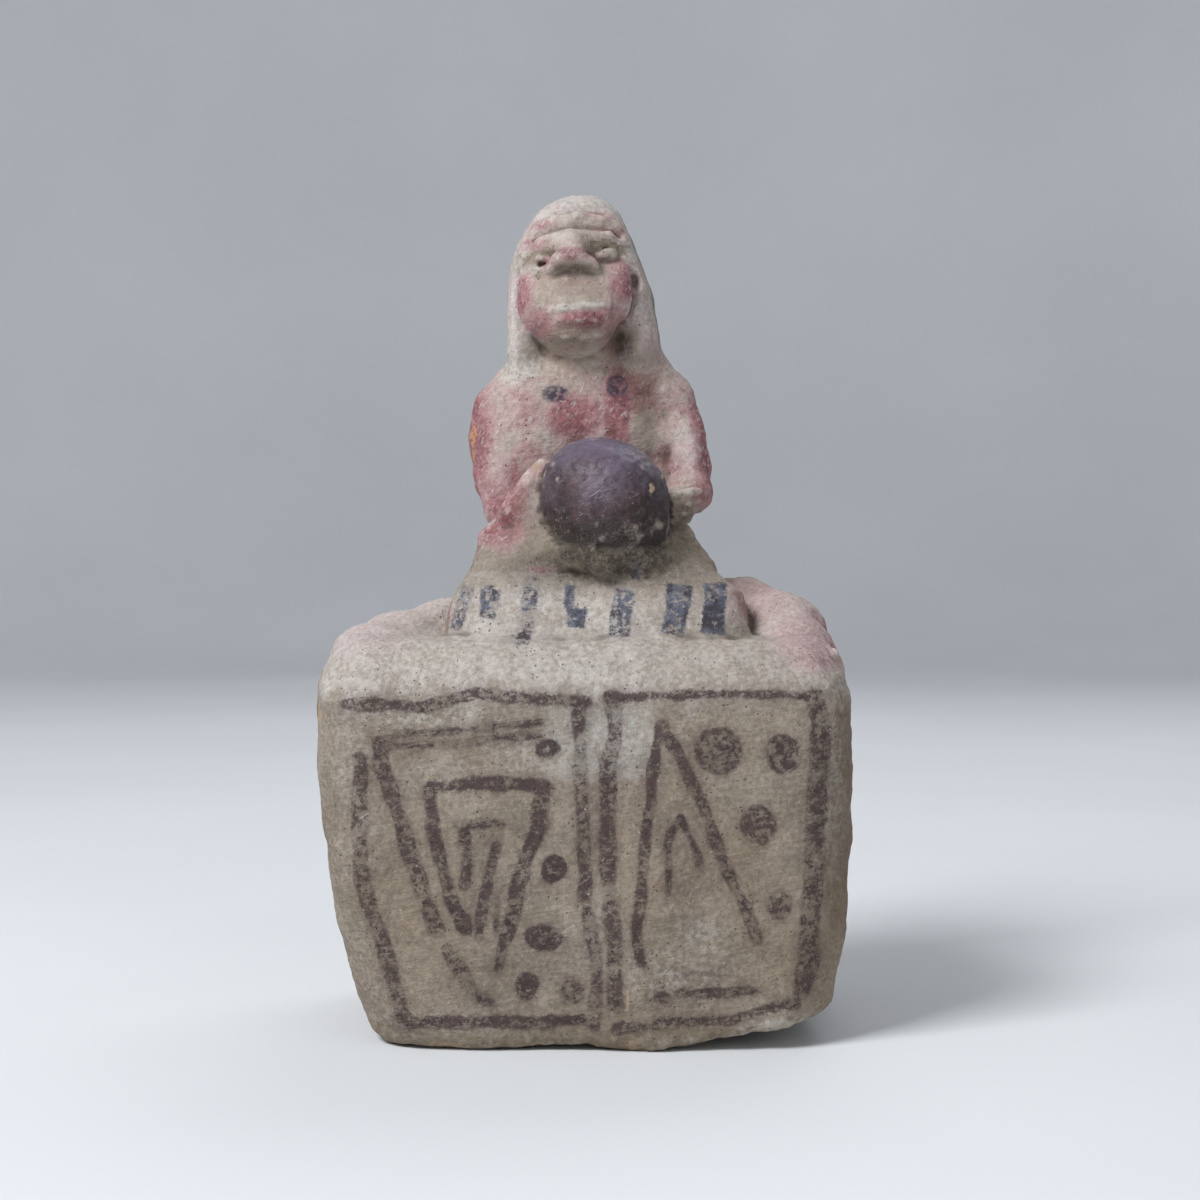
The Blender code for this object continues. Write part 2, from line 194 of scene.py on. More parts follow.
TORSO = Loft([
    (90, 3.0, 15.0, 29.0, 18.0), (99, 3.0, 15.0, 28.0, 17.6), (108, 3.0, 14.5, 25.5, 16.4), (118, 2.8, 13.5, 22.0, 14.2),
    (130, 2.2, 12.8, 21.0, 12.8), (142, 1.4, 12.4, 21.2, 12.2), (150, 0.6, 12.2, 20.2, 11.8), (156, -0.2, 12.0, 16.4, 11.0),
    (160, -1.0, 11.8, 13.0, 10.4), (165, -1.5, 11.5, 11.6, 10.0),
], power=2.25, smooth=3.0)
HEAD = Loft([
    (161.5, -1.8, 8.8, 7.0, 8.4), (164, -1.9, 8.0, 9.4, 11.0), (167, -2.0, 7.8, 11.4, 12.4), (172, -2.2, 8.0, 13.2, 13.6),
    (178, -2.3, 8.8, 14.0, 14.0), (184, -2.2, 9.8, 13.9, 13.8), (190, -2.0, 11.0, 12.6, 12.6), (195, -1.7, 12.0, 11.0, 10.8),
    (198.2, -1.2, 12.4, 8.2, 8.6), (200.2, -0.8, 12.6, 4.6, 5.0),
], power=2.15, smooth=2.0, cap=1.8)
HAIR_L = Loft([
    (153.0, -13.0, 11.5, 6.0, 8.0), (160, -14.0, 11.2, 5.0, 9.4), (168, -15.0, 11.2, 4.1, 10.6), (176, -15.1, 11.8, 3.8, 11.4),
    (184, -14.0, 12.6, 4.0, 11.0), (190, -11.4, 13.0, 4.4, 9.8), (196, -7.2, 13.2, 4.2, 7.4),
], power=2.4, smooth=2.5)
HAIR_R = Loft([
    (155.0, 13.4, 12.0, 6.4, 8.0), (161, 13.8, 11.6, 5.4, 9.6), (168, 13.0, 11.8, 5.4, 10.8), (176, 11.8, 12.2, 5.2, 11.4),
    (184, 9.6, 13.0, 4.4, 11.0), (190, 7.2, 13.2, 4.4, 9.8), (196, 3.6, 13.4, 4.0, 7.4),
], power=2.4, smooth=2.5)
HAIR_BACK = Loft([
    (152.0, 0.0, 17.0, 15.5, 6.5), (158, 0.0, 17.0, 17.0, 7.6), (166, 0.0, 17.2, 17.6, 8.4), (176, -0.6, 17.0, 16.6, 9.2),
    (184, -1.2, 16.6, 14.2, 9.2), (191, -1.5, 15.6, 11.2, 8.4), (197, -1.6, 14.4, 7.0, 6.0),
], power=2.2, smooth=3.0)
MANTLE = Loft([
    (88.0, 3.4, -11.0, 35.6, 19.0), (94.0, 3.4, -11.0, 35.8, 18.8), (99.0, 3.2, -10.6, 35.2, 17.6), (103.5, 3.0, -9.8, 33.6, 16.2),
    (107.5, 1.8, -8.4, 29.8, 14.4), (112.0, 0.6, -6.6, 26.6, 12.4), (117.0, -0.6, -4.6, 23.0, 10.0), (120.0, -0.8, -2.8, 20.0, 8.0),
], power=3.3, smooth=1.6, cap=3.0)
DOME = Lump((5.6, -12.8, 124.2), (16.2, 14.2, 14.2), (0, 38, 0))
FACE = [
    (HEAD, 1.4),
    (Lump((-1.6, -1.2, 173.4), (9.8, 6.8, 8.0)), 5.0),
    (Lump((-1.8, -0.6, 165.8), (8.2, 6.4, 4.8)), 4.0),
    (Lump((-10.0, 1.0, 174.0), (5.6, 6.0, 8.0), (0, 0, -20)), 4.0),
    (Lump((6.4, 1.0, 175.4), (5.8, 6.0, 8.0), (0, 0, 20)), 4.0),
]


def face_at(x, z, sink, r):
    """Point of a roll whose centre lies `sink` mm under the front of the head."""
    y = np.linspace(-14, 14, 561)
    d = None
    for shape, k in FACE:
        e = shape(np.full_like(y, x), y, np.full_like(y, z))
        d = e if d is None else smin(d, e, k)
    front = float(y[np.argmax(d < 0)]) if (d < 0).any() else 8.0
    return (x, front + sink, z, r)


def on_face(sink, r, *pts, k=1.0):
    """Roll laid over the face through points (x, z), thinner at its ends."""
    n = len(pts) - 1
    return Roll([face_at(x, z, sink, r * (0.7 + 0.3 * math.sin(math.pi * i / n))) for i, (x, z) in enumerate(pts)], k)


def dab(x, z, sink, r, turn=(0, 0, 0)):
    px, py, pz, _ = face_at(x, z, sink, 0)
    return Lump((px, py, pz), r, turn)



# (node it belongs to, shape, softness of the press, "add" or "cut")
CLAY = [
    ("base", BoxBody(), 0.1, "add"),
    ("leg_left", Roll([(-22, 19, 96, 8.5), (-36, 11, 91.6, 9.2), (-45, 1, 88.2, 9.8), (-48.5, -11, 85.4, 9.9), (-49.5, -21, 83.2, 8.0)], 3), 4.5, "add"),
    ("leg_right", Roll([(26, 19, 98, 9), (38, 11, 95, 10.4), (46.8, 0, 91.2, 10.8), (50.0, -12, 87.0, 9.8), (51.0, -21.5, 84.6, 7.8)], 3), 4.0, "add"),
    ("foot_right", Roll([(50, -27.0, 85.6, 4.4), (56.4, -21.5, 86.6, 4.4)], 1), 2.2, "add"),
    ("foot_left", Roll([(-49.0, -27.0, 84.0, 4.4), (-54.6, -21.5, 84.6, 4.2)], 1), 2.6, "add"),
    ("torso", TORSO, 3.0, "add"),
    ("torso", Lump((-12.5, 12, 153.5), (10, 8.6, 6.6), (0, -24, 0)), 4.0, "add"),
    ("torso", Lump((13.5, 12, 156.0), (10, 8.8, 7.4), (0, 26, 0)), 4.0, "add"),
    ("arm_left", Roll([(-16.5, 11, 153.5, 5.6), (-20.4, 9.8, 148, 6.1), (-21.8, 8.2, 140, 5.9), (-21.0, 5.4, 131, 5.4), (-18.6, 2.0, 123.6, 4.8), (-15.6, -1.6, 119.8, 4.2)], 2), 4.2, "add"),
    ("torso", Lump((-12.5, 4.2, 137.0), (10.0, 5.8, 18.0), (0, 8, 0)), 5.0, "add"),
    ("arm_right", Roll([(15.6, 12, 156, 5.8), (20.6, 11.6, 150.8, 6.2), (24.0, 10.8, 142.6, 6.1), (25.6, 8.4, 134, 6.0), (25.6, 4.6, 127.6, 5.4), (23.4, 0.6, 124.0, 4.4)], 2), 2.8, "add"),
    ("hair_back", HAIR_BACK, 2.5, "add"),
    ("hair_left_fall", HAIR_L, 2.0, "add"),
    ("hair_right_fall", HAIR_R, 2.0, "add"),
] + [("head", shape, k, "add") for shape, k in FACE] + [
    # shallow sockets, a closed lid on the right eye, a small pit for the left one
    ("head", dab(-9.8, 182.6, -1.0, (4.6, 1.9, 2.6), (0, 6, -22)), 2.6, "cut"),
    ("head", dab(5.0, 184.4, -1.2, (4.8, 2.1, 3.0), (0, -6, 18)), 2.6, "cut"),
    ("brow_left", on_face(1.2, 1.9, (-13.0, 184.6), (-9.4, 187.0), (-5.4, 187.6)), 2.6, "add"),
    ("brow_right", on_face(1.2, 1.9, (1.6, 188.4), (5.4, 189.0), (9.4, 187.4)), 2.6, "add"),
    ("eye_left", on_face(0.9, 1.25, (-13.0, 182.2), (-10.4, 183.2), (-7.4, 182.8)), 0.9, "add"),
    ("eye_left", on_face(1.0, 1.2, (-12.6, 180.8), (-10.2, 180.3), (-7.6, 180.8)), 1.2, "add"),
    ("eye_right", dab(5.5, 184.4, 0.9, (2.9, 1.9, 1.8), (0, -6, 18)), 0.8, "add"),
    ("eye_right", on_face(0.75, 0.95, (2.4, 185.6), (5.4, 186.8), (8.6, 185.4)), 0.6, "add"),
    ("head", on_face(0.1, 0.32, (2.8, 185.0), (5.4, 186.0), (8.0, 184.8)), 0.5, "cut"),
    ("head", dab(-10.3, 181.8, 0.3, (1.25, 1.9, 0.8), (0, 14, -20)), 0.5, "cut"),
    # short broad nose, tipped up so that its underside shows
    ("nose", Roll([face_at(-2.4, 190.0, 1.6, 2.2), face_at(-2.6, 186.8, 0.4, 2.9), (-2.9, -6.0, 184.0, 3.4)], 1.5), 3.0, "add"),
    ("nose", Lump((-3.0, -6.6, 182.4), (5.0, 3.8, 2.6), (-18, 4, 0)), 1.6, "add"),
    ("nose", Lump((-7.0, -5.2, 180.6), (2.7, 2.9, 2.0), (-14, -26, 0)), 1.4, "add"),
    ("nose", Lump((1.4, -5.4, 181.4), (2.7, 2.9, 2.0), (-14, 26, 0)), 1.4, "add"),
    ("head", Lump((-2.8, -9.4, 177.6), (5.2, 2.6, 1.5), (-38, 4, 0)), 1.8, "cut"),
    # mouth: one proud pale edge, the lower lip set back under it
    ("lip_upper", on_face(0.25, 1.05, (-7.8, 170.2), (-4.4, 171.3), (-0.6, 171.6), (5.6, 171.9)), 1.2, "add"),
    ("lip_lower", on_face(1.25, 2.0, (-6.2, 168.0), (-1.0, 168.0), (4.6, 169.0)), 2.2, "add"),
    ("head", on_face(-0.5, 0.7, (-5.0, 165.9), (0.0, 165.6), (4.0, 166.4)), 2.2, "cut"),
    # band rolled over the forehead, with shallow furrows above and below
    ("headband", on_face(1.0, 1.7, (-13.4, 187.4), (-11.0, 190.6), (-7.0, 192.8), (-1.6, 193.8), (4.0, 193.2), (7.6, 191.6), (9.4, 189.6)), 1.6, "add"),
    ("head", on_face(-0.3, 0.5, (-12.0, 188.0), (-8.0, 190.4), (-2.0, 191.4), (4.6, 191.0), (8.6, 189.0)), 1.6, "cut"),
    ("head", on_face(-0.2, 0.5, (-8.0, 194.0), (-4.0, 195.6), (1.0, 195.8), (4.6, 194.6)), 1.8, "cut"),
    # ear pits and the crease between cheek and hair
    ("head", Lump((13.0, 1.2, 179.0), (1.5, 3.0, 1.9), (0, 0, 20)), 0.8, "cut"),
    ("head", Roll([(-15.8, 1.4, 181.0, 0.2), (-15.6, 0.6, 175.0, 0.3), (-13.4, 0.4, 168.6, 0.3)], 1), 1.4, "cut"),
    ("head", Roll([(12.6, 1.4, 184.0, 0.3), (12.2, 0.4, 175.0, 0.6), (9.4, 0.2, 167.5, 0.9), (5.0, 0.8, 162.6, 0.6)], 1), 2.0, "cut"),
    # the bowed figure: mantle, shoulders, fringe, cap
    ("mantle", MANTLE, 1.6, "add"),
    ("small_shoulder_left", Roll([(-10.2, -9.2, 133.6, 0.7), (-13.6, -9.0, 128.6, 1.3), (-17.8, -9.0, 121.4, 2.0), (-22.6, -8.8, 115.8, 2.6)], 2), 2.4, "add"),
    ("small_shoulder_left", Lump((-9.6, -7.6, 122.4), (7.8, 4.8, 12.0), (0, 24, 0)), 2.6, "add"),
    ("small_shoulder_right", Roll([(20.4, -5.0, 120.0, 2.8), (23.2, -6.4, 115.6, 3.8), (28.4, -6.8, 108.6, 4.0)], 2), 2.4, "add"),
    ("nape_fringe", Roll([(-8.0, -14.6, 113.0, 2.2), (-5.0, -20.8, 110.6, 2.3), (4.6, -24.4, 109.2, 2.6), (14.8, -21.6, 109.4, 2.5), (19.4, -15.4, 111.6, 2.3)], 2), 4.0, "add"),
    ("nape_fringe", Lump((6.0, -13.5, 112.0), (15.0, 11.5, 5.0)), 3.0, "add"),
    ("cap_dome", DOME, 1.6, "add"),
    ("cap_dome", Lump((7.0, -14.0, 117.0), (13.0, 11.6, 8.2)), 3.0, "add"),
    ("nape_fringe", Roll([(19.0, -15.6, 118.0, 1.2), (22.0, -15.0, 112.6, 1.2), (27.4, -14.6, 106.8, 0.9)], 1), 1.4, "add"),
    ("hand_left", Lump((-14.2, -4.2, 119.6), (3.8, 3.6, 3.2), (0, 0, -30)), 1.4, "add"),
    ("hand_right", Lump((22.8, -1.8, 124.0), (4.0, 3.8, 4.2)), 1.4, "add"),
]
for z, long, start in [(126.8, 0.0, 28.2), (124.5, 0.8, 27.6), (122.2, 0.6, 26.4), (120.0, 0.0, 25.0)]:
    CLAY.append(("hand_right", Roll([(start, -1.0, z + 0.6, 1.15), (start - 3.0, -6.0, z, 1.35), (20.8 - long, -7.8, z - 0.8, 1.1)], 0.6), 0.4, "add"))
for row in range(4):
    CLAY.append(("foot_right", Lump((49.6 + 2.7 * row, -31.2 + 2.0 * row, 87.0 + 0.7 * row), (1.6, 2.4, 1.7), (0, 0, 30)), 0.9, "add"))
    CLAY.append(("foot_left", Lump((-48.0 - 2.5 * row, -31.4 + 2.2 * row, 85.2 + 0.5 * row), (1.5, 2.0, 1.4), (0, 0, -30)), 1.3, "add"))
# scored line between arm and chest, chips and the crack at the foot
CLAY += [
    ("torso", Roll([(-11.0, -0.8, 143.6, 0.2), (-14.6, 0.2, 141.6, 0.45), (-17.6, 1.8, 138.4, 0.2)], 1), 0.8, "cut"),
    ("torso", Roll([(16.6, 1.0, 154.0, 0.3), (17.8, 2.4, 143.0, 1.0), (17.8, 1.0, 133.0, 1.0)], 1), 2.6, "cut"),
    ("base", Lump((11.4, -43.2, 0.6), (1.2, 2.0, 2.2), (0, 18, 0)), 0.5, "cut"),
    ("base", Lump((9.0, -43.6, 7.5), (0.5, 1.4, 5.0), (0, -14, 0)), 0.4, "cut"),
    ("base", Lump((-61.6, -26.0, 76.5), (1.6, 2.6, 3.4)), 0.6, "cut"),
    ("base", Lump((-58.0, -33.0, 17.5), (1.8, 2.6, 2.6)), 0.6, "cut"),
    ("base", Lump((62.4, -27.0, 54.0), (1.3, 2.2, 4.2)), 0.6, "cut"),
    ("base", Lump((60.6, -31.0, 23.0), (1.6, 2.4, 3.0)), 0.6, "cut"),
    ("base", Lump((-30.0, -42.4, 0.2), (5.0, 2.0, 0.9)), 0.5, "cut"),
    ("base", Lump((34.0, -42.2, 0.4), (4.0, 2.2, 1.1)), 0.5, "cut"),
    ("base", Lump((-20.0, 42.0, 0.2), (5.0, 2.4, 1.2)), 0.5, "cut"),
]


def grid_axis(*runs):
    out = []
    for a, b, s in runs:
        out.append(np.linspace(a, b, max(1, round((b - a) / s)), endpoint=False))
    out.append([runs[-1][1]])
    return np.concatenate(out).astype(F4)


C = 1.0
GX = grid_axis((-66, -36, 0.85 * C), (-36, 40, 0.58 * C), (40, 66, 0.85 * C))
GY = grid_axis((-47, -34, 0.75 * C), (-34, 28, 0.62 * C), (28, 46, 1.1 * C))
GZ = grid_axis((-2.4, 86, 0.85 * C), (86, 203, 0.56 * C))
X, Y, Z = GX[:, None, None], GY[None, :, None], GZ[None, None, :]
D = np.full((len(GX), len(GY), len(GZ)), 9.0, F4)


def window(lo, hi, margin):
    out = []
    for g, a, b in zip((GX, GY, GZ), lo, hi):
        out.append(slice(max(0, int(np.searchsorted(g, a - margin)) - 1), min(len(g), int(np.searchsorted(g, b + margin)) + 1)))
    return tuple(out)


for _, shape, k, how in CLAY:
    w = window(shape.lo, shape.hi, k + 3.0)
    d = shape(X[w[0]], Y[:, w[1]], Z[:, :, w[2]]).astype(F4)
    D[w] = smin(D[w], d, k) if how == "add" else smax(D[w], -d, k)

# the foot of the box curls up toward its right front corner
lift = (((X - 22) * 0.20 - Z - 0.08 * np.maximum(Y + 18, 0)) * 0.98).astype(F4)
D = smax(D, np.where(X > 16, lift, -9).astype(F4), 3.0)

# hand-made unevenness: broad waves, finger dabs, and a slight slump; less on the small features of the face
soft = (1 - 0.75 * step01(158, 166, GZ))[None, None, :].astype(F4)
D += 0.42 * waves(X, Y, Z, 34.0, 5) * soft
D += 0.20 * waves(X, Y, Z, 13.0, 6) * soft
D += (0.07 * waves(X, Y, Z, 5.0, 7)).astype(F4)
crusty = (np.exp(-(((X - 5) / 19) ** 2 + ((Y + 19) / 12) ** 2 + ((Z - 110.5) / 5.0) ** 2))).astype(F4)
D -= crusty * (0.30 * waves(X, Y, Z, 3.4, 8) + 0.20 * waves(X, Y, Z, 2.0, 9))
D = np.maximum(D, (-Z).astype(F4) + 0.0 * D)  # flat foot
D[[0, -1]] = 9
D[:, [0, -1]] = 9
D[:, :, [0, -1]] = 9


def surface(D):
    """Quads on the zero level of the field, one point for each cell that the surface crosses."""
    inside = D < 0
    n = np.zeros(tuple(s - 1 for s in D.shape), np.uint8)
    for i in (0, 1):
        for j in (0, 1):
            for k in (0, 1):
                n += inside[i:D.shape[0] - 1 + i, j:D.shape[1] - 1 + j, k:D.shape[2] - 1 + k]
    cell = np.nonzero((n > 0) & (n < 8))
    index = np.full(n.shape, -1, np.int32)
    index[cell] = np.arange(len(cell[0]), dtype=np.int32)
    total, count = np.zeros((len(cell[0]), 3)), np.zeros(len(cell[0]))
    axes = (GX, GY, GZ)
    corners = [(i, j, k) for i in (0, 1) for j in (0, 1) for k in (0, 1)]
    for a in corners:
        for axis in range(3):
            if a[axis]:
                continue
            b = list(a)
            b[axis] = 1
            va = D[cell[0] + a[0], cell[1] + a[1], cell[2] + a[2]]
            vb = D[cell[0] + b[0], cell[1] + b[1], cell[2] + b[2]]
            hit = (va < 0) != (vb < 0)
            t = va[hit] / (va[hit] - vb[hit])
            for c in range(3):
                ga = axes[c][cell[c][hit] + a[c]]
                gb = axes[c][cell[c][hit] + b[c]]
                total[hit, c] += ga + t * (gb - ga)
            count[hit] += 1
    points = total / count[:, None]
    quads = []
    for axis in range(3):
        u, v = [(1, 2), (2, 0), (0, 1)][axis]
        lo, hi = [slice(None)] * 3, [slice(None)] * 3
        lo[axis], hi[axis] = slice(0, -1), slice(1, None)
        cross = inside[tuple(lo)] != inside[tuple(hi)]
        at = list(np.nonzero(cross))
        ok = (at[u] > 0) & (at[v] > 0) & (at[u] < D.shape[u] - 1) & (at[v] < D.shape[v] - 1)
        at = [c[ok] for c in at]
        starts = inside[tuple(at)]
        q = []
        for du, dv in ((1, 1), (0, 1), (0, 0), (1, 0)):
            here = list(at)
            here[u] = at[u] - du
            here[v] = at[v] - dv
            q.append(index[tuple(here)])
        q = np.stack(q, 1)
        q[~starts] = q[~starts][:, ::-1]
        quads.append(q)
    return points, np.concatenate(quads)


P, Q = surface(D)
del D


def face_normals(P, Q):
    return np.cross(P[Q[:, 2]] - P[Q[:, 0]], P[Q[:, 3]] - P[Q[:, 1]])


def vertex_normals(P, Q):
    fn = face_normals(P, Q)
    out = np.zeros_like(P)
    for c in range(3):
        out[:, c] = np.bincount(Q.ravel(), np.repeat(fn[:, c], 4), len(P))
    return out / (np.linalg.norm(out, axis=1, keepdims=True) + 1e-12)


def relax(P, Q, rounds):
    """Slight smoothing that keeps volume: one step in, one step back out."""
    deg = np.bincount(Q.ravel(), minlength=len(P)) * 2.0
    for amount in [0.5, -0.52] * rounds:
        acc = np.zeros_like(P)
        for c in range(3):
            w = P[:, c]
            nb = w[np.roll(Q, 1, 1)] + w[np.roll(Q, -1, 1)]
            acc[:, c] = np.bincount(Q.ravel(), nb.ravel(), len(P))
        P = P + amount * (acc / deg[:, None] - P)
    return P


# outward faces: the enclosed volume has to come out positive
if np.einsum("ij,ij->i", P[Q[:, 0]], face_normals(P, Q)).sum() < 0:
    Q = Q[:, ::-1]
P = relax(P, Q, 2)
P[:, 2] = np.where(P[:, 2] < 0.35, np.maximum(P[:, 2], 0.0), P[:, 2])
N = vertex_normals(P, Q)
x, y, z = P.T

# how hollow or proud the surface is around each point, at two sizes, in mm
def bend(P, Q, rounds):
    S = P.copy()
    deg = np.bincount(Q.ravel(), minlength=len(P)) * 2.0
    for _ in range(rounds):
        acc = np.zeros_like(S)
        for c in range(3):
            w = S[:, c]
            acc[:, c] = np.bincount(Q.ravel(), (w[np.roll(Q, 1, 1)] + w[np.roll(Q, -1, 1)]).ravel(), len(S))
        S = 0.3 * S + 0.7 * acc / deg[:, None]
    return np.einsum("ij,ij->i", S - P, N)


CAV_FINE = bend(P, Q, 6)
CAV_BROAD = bend(P, Q, 40)

# fine tooling that the field was too coarse for: scraped facets, dents, lifted edges of slip
dents = np.maximum(0, waves(x, y, z, 6.5, 21) - 1.35) * 0.30
scrape = 0.035 * np.sin((x * 0.8 + z * 0.55) * 2.1 + 1.5 * waves(x, y, z, 14, 22)) * (z < 92)
rub = 0.05 * waves(x, y, z, 2.4, 23)
calm = 1 - 0.7 * (z > 160)
P = P + N * ((-dents + scrape + rub) * calm)[:, None]
P[:, 2] = np.maximum(P[:, 2], 0.0)
N = vertex_normals(P, Q)
x, y, z = P.T

# =====================================================================================================================
# 2. which clay piece each face belongs to
# =====================================================================================================================
FC = P[Q].mean(1)
fx, fy, fz = [FC[:, c].astype(F4) for c in range(3)]
SMALL = {"brow_left": 0.5, "brow_right": 0.5, "eye_left": 0.6, "eye_right": 0.6, "nose": 0.5, "lip_upper": 0.5, "lip_lower": 0.7,
         "headband": 0.7, "hand_left": 3.0, "hand_right": 0.8, "foot_left": 1.9, "foot_right": 0.5, "small_shoulder_right": 0.4,
         "nape_fringe": 0.3, "hair_back": 0.6, "hair_left_fall": 0.3, "hair_right_fall": 0.3}
groups = sorted({c[0] for c in CLAY})
near = np.full((len(groups), len(FC)), 99.0, F4)
for name, shape, k, how in CLAY:
    if how == "cut":
        continue
    g = groups.index(name)
    m = np.all((FC > shape.lo - 6) & (FC < shape.hi + 6), axis=1)
    near[g, m] = np.minimum(near[g, m], shape(fx[m], fy[m], fz[m]) - SMALL.get(name, 0.0))
near[groups.index("foot_left"), fx < -57.6] = 99.0  # the top slab runs on outside the foot
base_g = groups.index("base")
label_g = near.argmin(0)
names = []
for g in groups:
    names.append(g)
LABELS = ["base_front_wall", "base_back_wall", "base_left_wall", "base_right_wall", "base_top_slab", "base_floor_slab",
          "torso_front_shell", "torso_back_shell", "head_front_shell", "head_back_shell", "hair_left_fall", "hair_right_fall", "headband",
          "brow_left", "brow_right", "eye_left", "eye_right", "nose", "lip_upper", "lip_lower", "arm_left", "arm_right", "hand_left",
          "hand_right", "leg_left", "leg_right", "foot_left", "foot_right", "small_shoulder_left", "small_shoulder_right", "mantle",
          "nape_fringe", "cap_dome"]
label = np.zeros(len(FC), np.int32)
wob = 0.6 * waves(fx, fy, fz, 9.0, 31)
for g, name in enumerate(groups):
    m = label_g == g
    if name == "base":
        b = np.where(fz > 86 + wob, 4, np.where(fz < 5.5 + 0.3 * wob, 5, np.where(fy < -32 + wob, 0, np.where(fy > 32 + wob, 1, np.where(fx < 0, 2, 3)))))
        label[m] = b[m]
    elif name == "torso":
        label[m] = np.where(fy < 13 + wob, 6, 7)[m]
    elif name == "head":
        label[m] = np.where(fy < 11 + wob, 8, 9)[m]
    elif name == "hair_back":
        label[m] = np.where(fz < 172 + wob, np.where(fx < 0, LABELS.index("hair_left_fall"), LABELS.index("hair_right_fall")), 9)[m]
    else:
        label[m] = LABELS.index(name)

# neighbours across each edge
E = np.sort(np.stack([Q, np.roll(Q, -1, 1)], 2).reshape(-1, 2), axis=1)
ekey = E[:, 0].astype(np.int64) * len(P) + E[:, 1]
order = np.argsort(ekey, kind="stable")
same = ekey[order][1:] == ekey[order][:-1]
fa, fb = order[:-1][same] // 4, order[1:][same] // 4


def tidy(label, rounds):
    """Majority vote, so that the seams run clean."""
    for _ in range(rounds):
        best, score = label.copy(), np.zeros(len(label))
        for l in range(len(LABELS)):
            on = (label == l).astype(float)
            if not on.any():
                continue
            v = np.bincount(Q.ravel(), np.repeat(on, 4), len(P)) / np.bincount(Q.ravel(), minlength=len(P))
            s = v[Q].mean(1)
            up = s > score + 1e-9
            best[up], score[up] = l, s[up]
        label = best
    return label


def islands(label):
    comp = np.arange(len(label))
    on = label[fa] == label[fb]
    a, b = fa[on], fb[on]
    while True:
        m = np.minimum(comp[a], comp[b])
        new = comp.copy()
        np.minimum.at(new, a, m)
        np.minimum.at(new, b, m)
        new = np.minimum(new, new[new])
        new = new[new]
        if (new == comp).all():
            return comp
        comp = new


label = tidy(label, 3)
for _ in range(6):
    comp = islands(label)
    sizes = np.bincount(comp, minlength=len(label))
    main = {}
    for l in range(len(LABELS)):
        on = comp[label == l]
        if len(on):
            main[l] = np.bincount(on).argmax()
    stray = np.array([main[l] for l in range(len(LABELS)) if l in main])
    lone = ~np.isin(comp, stray)
    if not lone.any():
        break
    edge = lone[fa] != lone[fb]
    src = np.where(lone[fa[edge]], fa[edge], fb[edge])
    dst = np.where(lone[fa[edge]], fb[edge], fa[edge])
    grow = label.copy()
    grow[src] = label[dst]
    # a whole stray patch takes the label met most often round it
    for c in np.unique(comp[src]):
        take = label[dst[comp[src] == c]]
        grow[comp == c] = np.bincount(take).argmax()
    label = grow

